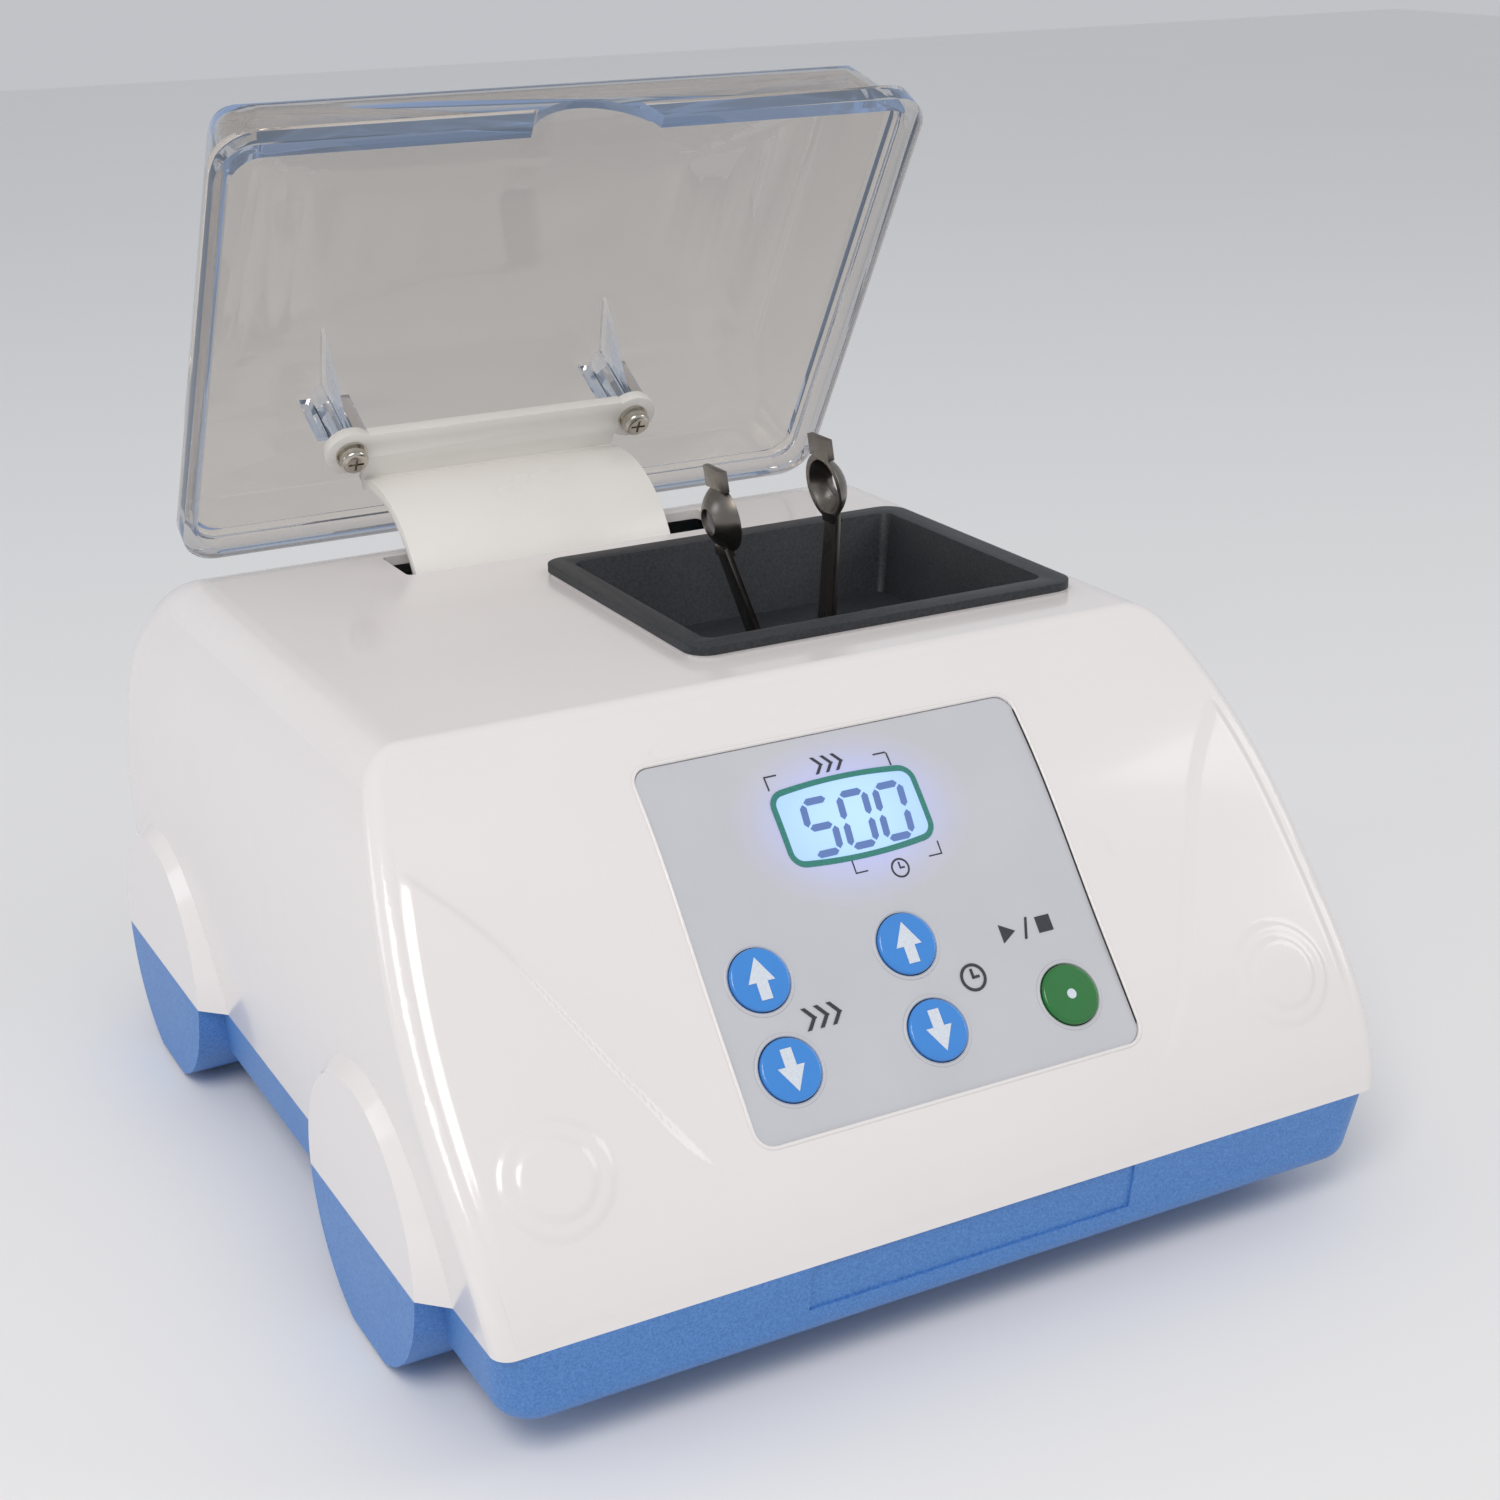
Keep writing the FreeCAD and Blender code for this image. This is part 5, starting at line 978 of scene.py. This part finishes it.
@dataclass
class Display:
    """Display window, its teal frame and the segments of the number it shows."""

    face: FrontFace
    teal: bpy.types.Material
    window: bpy.types.Material
    lit: bpy.types.Material
    x: float = -0.2 * MM
    z: float = 103.7 * MM
    half_width: float = 17.3 * MM
    half_height: float = 7.6 * MM
    corner: float = 2.2 * MM
    bow: float = 1.3 * MM              # how far the upper and lower edges swell
    columns: int = 16                  # in which they bow
    border: float = 1.3 * MM           # width of the teal frame
    border_out: float = 0.16 * MM      # how far it stands out of the film
    window_depth: float = 1.2 * MM
    window_out: float = 0.06 * MM
    digit_width: float = 6.4 * MM
    digit_height: float = 12.4 * MM
    pitch: float = 9.3 * MM
    thick: float = 1.65 * MM           # width of a segment
    digit_out: float = 0.17 * MM
    shift: tuple[float, float] = (0.8 * MM, -1.0 * MM)   # of the number from the middle
    lean: float = 0.1

    def bowed(self, name: str, grow: float, bottom: float, top: float) -> bpy.types.Object:
        """Plate of the display's outline: upright ends, bowed upper and lower edges.

        Args:
            name: the piece's name.
            grow: how much larger than the window.
            bottom: underside.
            top: face.
        Returns:
            The flat piece.
        """
        v = self.face.v_at(self.z)
        tall, wide = self.half_height + grow, self.half_width + grow
        plate = rounded_plate(name, self.x - wide, self.x + wide, v - tall, v + tall, bottom, top,
                              self.corner + grow)
        take(plate)
        bpy.ops.object.mode_set(mode="EDIT")
        for column in range(1, self.columns):
            bpy.ops.mesh.select_all(action="SELECT")
            bpy.ops.mesh.bisect(plane_co=(self.x - wide + 2 * column * wide / self.columns, 0, 0),
                                plane_no=(1, 0, 0))
        bpy.ops.object.mode_set(mode="OBJECT")
        for vertex in plate.data.vertices:
            share = (vertex.co.x - self.x) / wide
            vertex.co.y += math.copysign(self.bow * (1 - share * share), vertex.co.y - v)
        return plate

    def digits(self, shown: str) -> None:
        """Makes the seven-segment number, leaning a little.

        Args:
            shown: the digits.
        """
        v = self.face.v_at(self.z) + self.shift[1]
        wide, tall = self.digit_width, self.digit_height
        spots = {"a": (wide / 2, tall / 2, False), "g": (wide / 2, 0, False),
                 "d": (wide / 2, -tall / 2, False), "f": (0, tall / 4, True), "e": (0, -tall / 4, True),
                 "b": (wide, tall / 4, True), "c": (wide, -tall / 4, True)}
        bars = []
        for turn, digit in enumerate(shown, start=-(len(shown) // 2)):
            left = self.x + self.shift[0] + turn * self.pitch - wide / 2
            for letter in LIT_SEGMENTS[digit]:
                dx, dv, upright = spots[letter]
                length = (tall / 2 if upright else wide) - self.thick / 2
                bars.append(self.segment(left + dx, v + dv, length, upright))
        number = join("display_digits", bars)
        for vertex in number.data.vertices:
            vertex.co.x += self.lean * (vertex.co.y - v)
        lay(self.face, number)
        place(number, self.lit, BODY, "display_backlight")

    def segment(self, x: float, v: float, length: float, upright: bool) -> bpy.types.Object:
        """Adds one pointed segment bar, flat.

        Args:
            x: middle, across.
            v: middle, up the slope.
            length: from point to point.
            upright: whether it stands, or lies across.
        Returns:
            The bar.
        """
        bar = disc("segment", x, v, FILM - SINK, FILM + self.digit_out, self.thick, corners=6)
        half = self.thick / 2
        for vertex in bar.data.vertices:
            across, along = vertex.co.x - x, vertex.co.y - v
            off_axis = abs(across) > 0.2 * half
            end = math.copysign(length / 2 - (half if off_axis else 0), along)
            reach = math.copysign(half, across) if off_axis else 0.0
            vertex.co.x, vertex.co.y = (x + reach, v + end) if upright else (x - end, v + reach)
        return bar

    def make(self) -> None:
        """Makes the frame, the window and the number."""
        ring = self.bowed("display_frame", self.border, FILM - SINK, FILM + self.border_out)
        cut(ring, self.bowed("hole", 0.0, FILM - MM, FILM + MM))
        lay(self.face, ring)
        place(ring, self.teal, BODY, "display_backlight")
        window = self.bowed("display_window", 0.0, FILM - self.window_depth, FILM + self.window_out)
        lay(self.face, window)
        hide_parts("display_lens")
        place(window, self.window, BODY, "clear_window")
        self.digits("500")


class Direction(Enum):
    """Which way a key's arrow points, as a turn in degrees."""

    UP = 0.0
    DOWN = 180.0


@dataclass
class Keys:
    """Rims around the five keys, and the arrows and the dot printed on them."""

    face: FrontFace
    pale: bpy.types.Material
    film: bpy.types.Material
    out: float = 0.55 * MM             # how far a key's top stands out of the face
    rim_radius: float = 7.75 * MM
    rim_half: float = 0.42 * MM
    rim_squash: float = 0.55
    head_y: float = 1.2 * MM
    head_radius: float = 3.7 * MM
    stem_half: float = 1.35 * MM
    stem_y: tuple[float, float] = (-4.6 * MM, 0.2 * MM)
    dot_radius: float = 1.15 * MM

    def stand(self, piece: bpy.types.Object, node: str, out: float) -> None:
        """Moves a flat piece from the origin to a key's middle.

        Args:
            piece: the piece.
            node: the key's CAD node.
            out: how far off the face.
        """
        low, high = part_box(node)
        self.face.stand(piece, (low.x + high.x) / 2, KEY_HEIGHTS[node], out)

    def arrow(self, node: str, direction: Direction) -> None:
        """Makes the printed arrow of a key.

        Args:
            node: the key's CAD node.
            direction: which way it points.
        """
        low, high = self.stem_y
        arrow = disc("arrow_" + node, 0, self.head_y, -SINK, INK_T, self.head_radius, corners=3)
        cut(arrow, block("stem", (-self.stem_half, low, -SINK), (self.stem_half, high, INK_T)),
            Operation.ADD)
        arrow.data.transform(Matrix.Rotation(math.radians(direction.value), 4, "Z"))
        self.stand(arrow, node, self.out)
        place(arrow, self.pale, node + "_body", "overlay_silver")

    def rim(self, node: str) -> None:
        """Makes the raised rim of the film around a key.

        Args:
            node: the key's CAD node.
        """
        deselect()
        bpy.ops.mesh.primitive_torus_add(major_radius=self.rim_radius, minor_radius=self.rim_half,
                                         major_segments=64, minor_segments=12)
        rim = settle("rim_" + node)
        for vertex in rim.data.vertices:
            vertex.co.z *= self.rim_squash
        self.stand(rim, node, FILM)
        smooth(rim, STEEP)
        place(rim, self.film, BODY, "overlay_silver")

    def make(self) -> None:
        """Makes the arrows, the dot and the rims."""
        for pair in ("key_speed", "key_timer"):
            self.arrow(pair + "_up", Direction.UP)
            self.arrow(pair + "_down", Direction.DOWN)
        dot = disc("key_start_dot", 0, 0, -SINK, INK_T, self.dot_radius, corners=24)
        self.stand(dot, "key_start", self.out)
        place(dot, self.pale, "key_start_body", "overlay_silver")
        for node in KEY_HEIGHTS:
            self.rim(node)


# ---- tray, fork, lid and rear -----------------------------------------------------------
@dataclass
class Workings:
    """The tray, the fork, the lid and its arm, with rounded edges."""

    tray: bpy.types.Material
    steel: bpy.types.Material
    clear: bpy.types.Material
    white: bpy.types.Material
    tray_edge: float = 0.45 * MM
    fork_edge: float = 0.25 * MM
    lid_edge: float = 0.5 * MM

    def make(self) -> None:
        """Makes the rounded pieces."""
        place(rounded_copy("mixing_tray", "mixing_bowl", self.tray_edge), self.tray, BODY, "tray_black")
        place(rounded_copy("hinge_arm", "lid_arm", self.lid_edge), self.white, "lid", "arm_white")
        for side in ("left", "right"):
            blade = rounded_copy("fork_arm_" + side, "fork_blade_" + side, self.fork_edge)
            place(blade, self.steel, "fork", "spring_steel")
        place(rounded_copy("lid_cover", "clear_lid", self.lid_edge), self.clear, "lid", "lid_clear")


@dataclass
class Rear:
    """Marks on the mains rocker: a stroke for on and a ring for off."""

    ink: bpy.types.Material
    rise: float = 4.3 * MM             # of each mark from the rocker's middle
    half: float = 1.5 * MM             # half the height of each
    stroke_half: float = 0.35 * MM     # half the stroke's width
    ring_inside: float = 1.0 * MM
    depth: float = 0.3 * MM            # how far a mark reaches into the rocker
    out: float = 0.05 * MM             # how far it stands out
    clear: float = 0.05                # rays start this far behind the rocker, in metres

    def make(self) -> None:
        """Makes the two marks."""
        low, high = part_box("rocker")
        middle = (low + high) / 2
        stroke = block("rocker_mark_on", (-self.stroke_half, -self.half, -self.depth),
                       (self.stroke_half, self.half, self.out))
        ring = disc("rocker_mark_off", 0, 0, -self.depth, self.out, self.half)
        cut(ring, disc("hole", 0, 0, -MM, MM, self.ring_inside))
        tree = surface("rocker")
        for mark, rise in ((stroke, self.rise), (ring, -self.rise)):
            spot, normal, _, _ = tree.ray_cast(Vector((middle.x, high.y + self.clear, middle.z + rise)),
                                               Vector((0, -1, 0)))
            turn = normal.to_track_quat("Z", "Y").to_matrix().to_4x4()
            mark.data.transform(Matrix.Translation(spot) @ turn)
            place(mark, self.ink, "power_rocker", "nylon_white")


# ---- studio -----------------------------------------------------------------------------
@dataclass(frozen=True)
class Lamp:
    """A soft square light."""

    name: str
    spot: tuple[float, float, float]
    size: float                        # edge length in metres
    power: float                       # watts
    colour: str

    def make(self, aim: Vector) -> None:
        """Adds the light.

        Args:
            aim: the point that it looks at.
        """
        data = bpy.data.lights.new(self.name, "AREA")
        data.size = self.size
        data.energy = self.power
        data.color = linear(self.colour)[:3]
        lamp = bpy.data.objects.new(self.name, data)
        bpy.context.scene.collection.objects.link(lamp)
        lamp.location = self.spot
        lamp.rotation_euler = (Vector(self.spot) - aim).to_track_quat("Z", "Y").to_euler()


@dataclass
class Studio:
    """Pale floor, soft lights and the camera."""

    eye: tuple[float, float, float] = (-0.25499, -0.50164, 0.30585)
    back: tuple[float, float, float] = (-0.443, -0.8245, 0.352)   # from the object to the camera
    roll: float = -0.92                # degrees
    lens: float = 57.98
    sensor: float = 36.0
    near: float = 0.01
    floor_size: float = 6.0
    sky: str = "#eef1f6"
    sky_strength: float = 0.62
    aim: tuple[float, float, float] = (0, 0, 0.08)
    lamps: tuple[Lamp, ...] = (Lamp("key_light", (-0.7, -0.8, 1.3), 0.7, 10.0, "#fff8f2"),
                               Lamp("side_light", (-1.3, 0.5, 0.5), 0.5, 1.6, "#f4f8ff"),
                               Lamp("right_light", (1.2, -0.6, 0.9), 0.6, 2.4, "#fffaf6"))

    def camera(self) -> None:
        """Creates the camera at its place, looking at the front left corner."""
        data = bpy.data.cameras.new("camera")
        data.lens = self.lens
        data.sensor_width = self.sensor
        data.clip_start = self.near
        camera = bpy.data.objects.new("camera", data)
        bpy.context.scene.collection.objects.link(camera)
        back = Vector(self.back).normalized()
        right = Vector((0, 0, 1)).cross(back).normalized()
        up = back.cross(right)
        angle = math.radians(self.roll)
        side = right * math.cos(angle) + up * math.sin(angle)
        top = up * math.cos(angle) - right * math.sin(angle)
        turn = Matrix((side, top, back)).transposed().to_4x4()
        camera.matrix_world = Matrix.Translation(Vector(self.eye)) @ turn
        bpy.context.scene.camera = camera

    def floor(self) -> None:
        """Adds the pale floor."""
        deselect()
        bpy.ops.mesh.primitive_plane_add(size=self.floor_size, location=(0, 0, 0))
        floor = settle("floor")
        dress(floor, PAPER.build())

    def make(self) -> None:
        """Makes the whole studio."""
        self.floor()
        world = bpy.data.worlds.new("studio")
        bpy.context.scene.world = world
        world.use_nodes = True
        background = world.node_tree.nodes["Background"]
        background.inputs["Color"].default_value = linear(self.sky)
        background.inputs["Strength"].default_value = self.sky_strength
        for lamp in self.lamps:
            lamp.make(Vector(self.aim))
        bpy.context.scene.view_settings.view_transform = "Standard"
        self.camera()


# ---- everything in order ----------------------------------------------------------------
def lit_materials(face: FrontFace) -> tuple[bpy.types.Material, bpy.types.Material]:
    """Makes the finishes of the film and the window, both lit from the display's middle.

    Args:
        face: the sloping front.
    Returns:
        The film's and the window's materials.
    """
    centre = (Display.x, float(face.y_at(Display.z)), Display.z)
    film = GlowFinish("satin_polyester_film", "#c3c5ca", "#cbcdd2", drift_mm=18, grain_mm=0.5,
                      relief_mm=0.012, smooth=0.3, rough=0.4, coat=0.15, glow=0.55,
                      centre=centre, reach=(33 * MM, 22 * MM, 24 * MM), glow_colour="#4a63ff")
    window = GlowFinish("backlit_window", "#b4d4f8", "#aacdf5", drift_mm=12, grain_mm=0.5,
                        relief_mm=0.0, smooth=0.15, rough=0.2, coat=0.5, glow=0.45, centre=centre,
                        reach=(30 * MM, 24 * MM, 24 * MM), glow_colour="#a8d0ff", edge_glow=0.3)
    return film.build(), window.build()


def main() -> None:
    """Builds every piece in order."""
    logging.basicConfig(level=logging.INFO, format="%(name)s %(message)s")
    white = WHITE_ABS.build()
    for finish, nodes in NODE_FINISHES.items():
        material = white if finish is WHITE_ABS else finish.build()
        for node in nodes:
            dress(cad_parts[node], material)
    face = FrontFace("upper_housing")
    film, window = lit_materials(face)
    dress(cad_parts["keypad_overlay"], film)
    dress(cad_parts["display_module"], window)
    pale = PALE_INK.build()
    panel = Panel(face, INK.build())
    panel.make(white)
    Display(face, TEAL_INK.build(), window, SEGMENT.build()).make()
    Keys(face, pale, film).make()
    Fascia(face, white).make(panel.outline(), panel.corner)
    Workings(TRAY_ABS.build(), SPRING_STEEL.build(), CLEAR.build(), ACETAL.build()).make()
    Rear(pale).make()
    Studio().make()


if __name__ == "__main__":
    main()
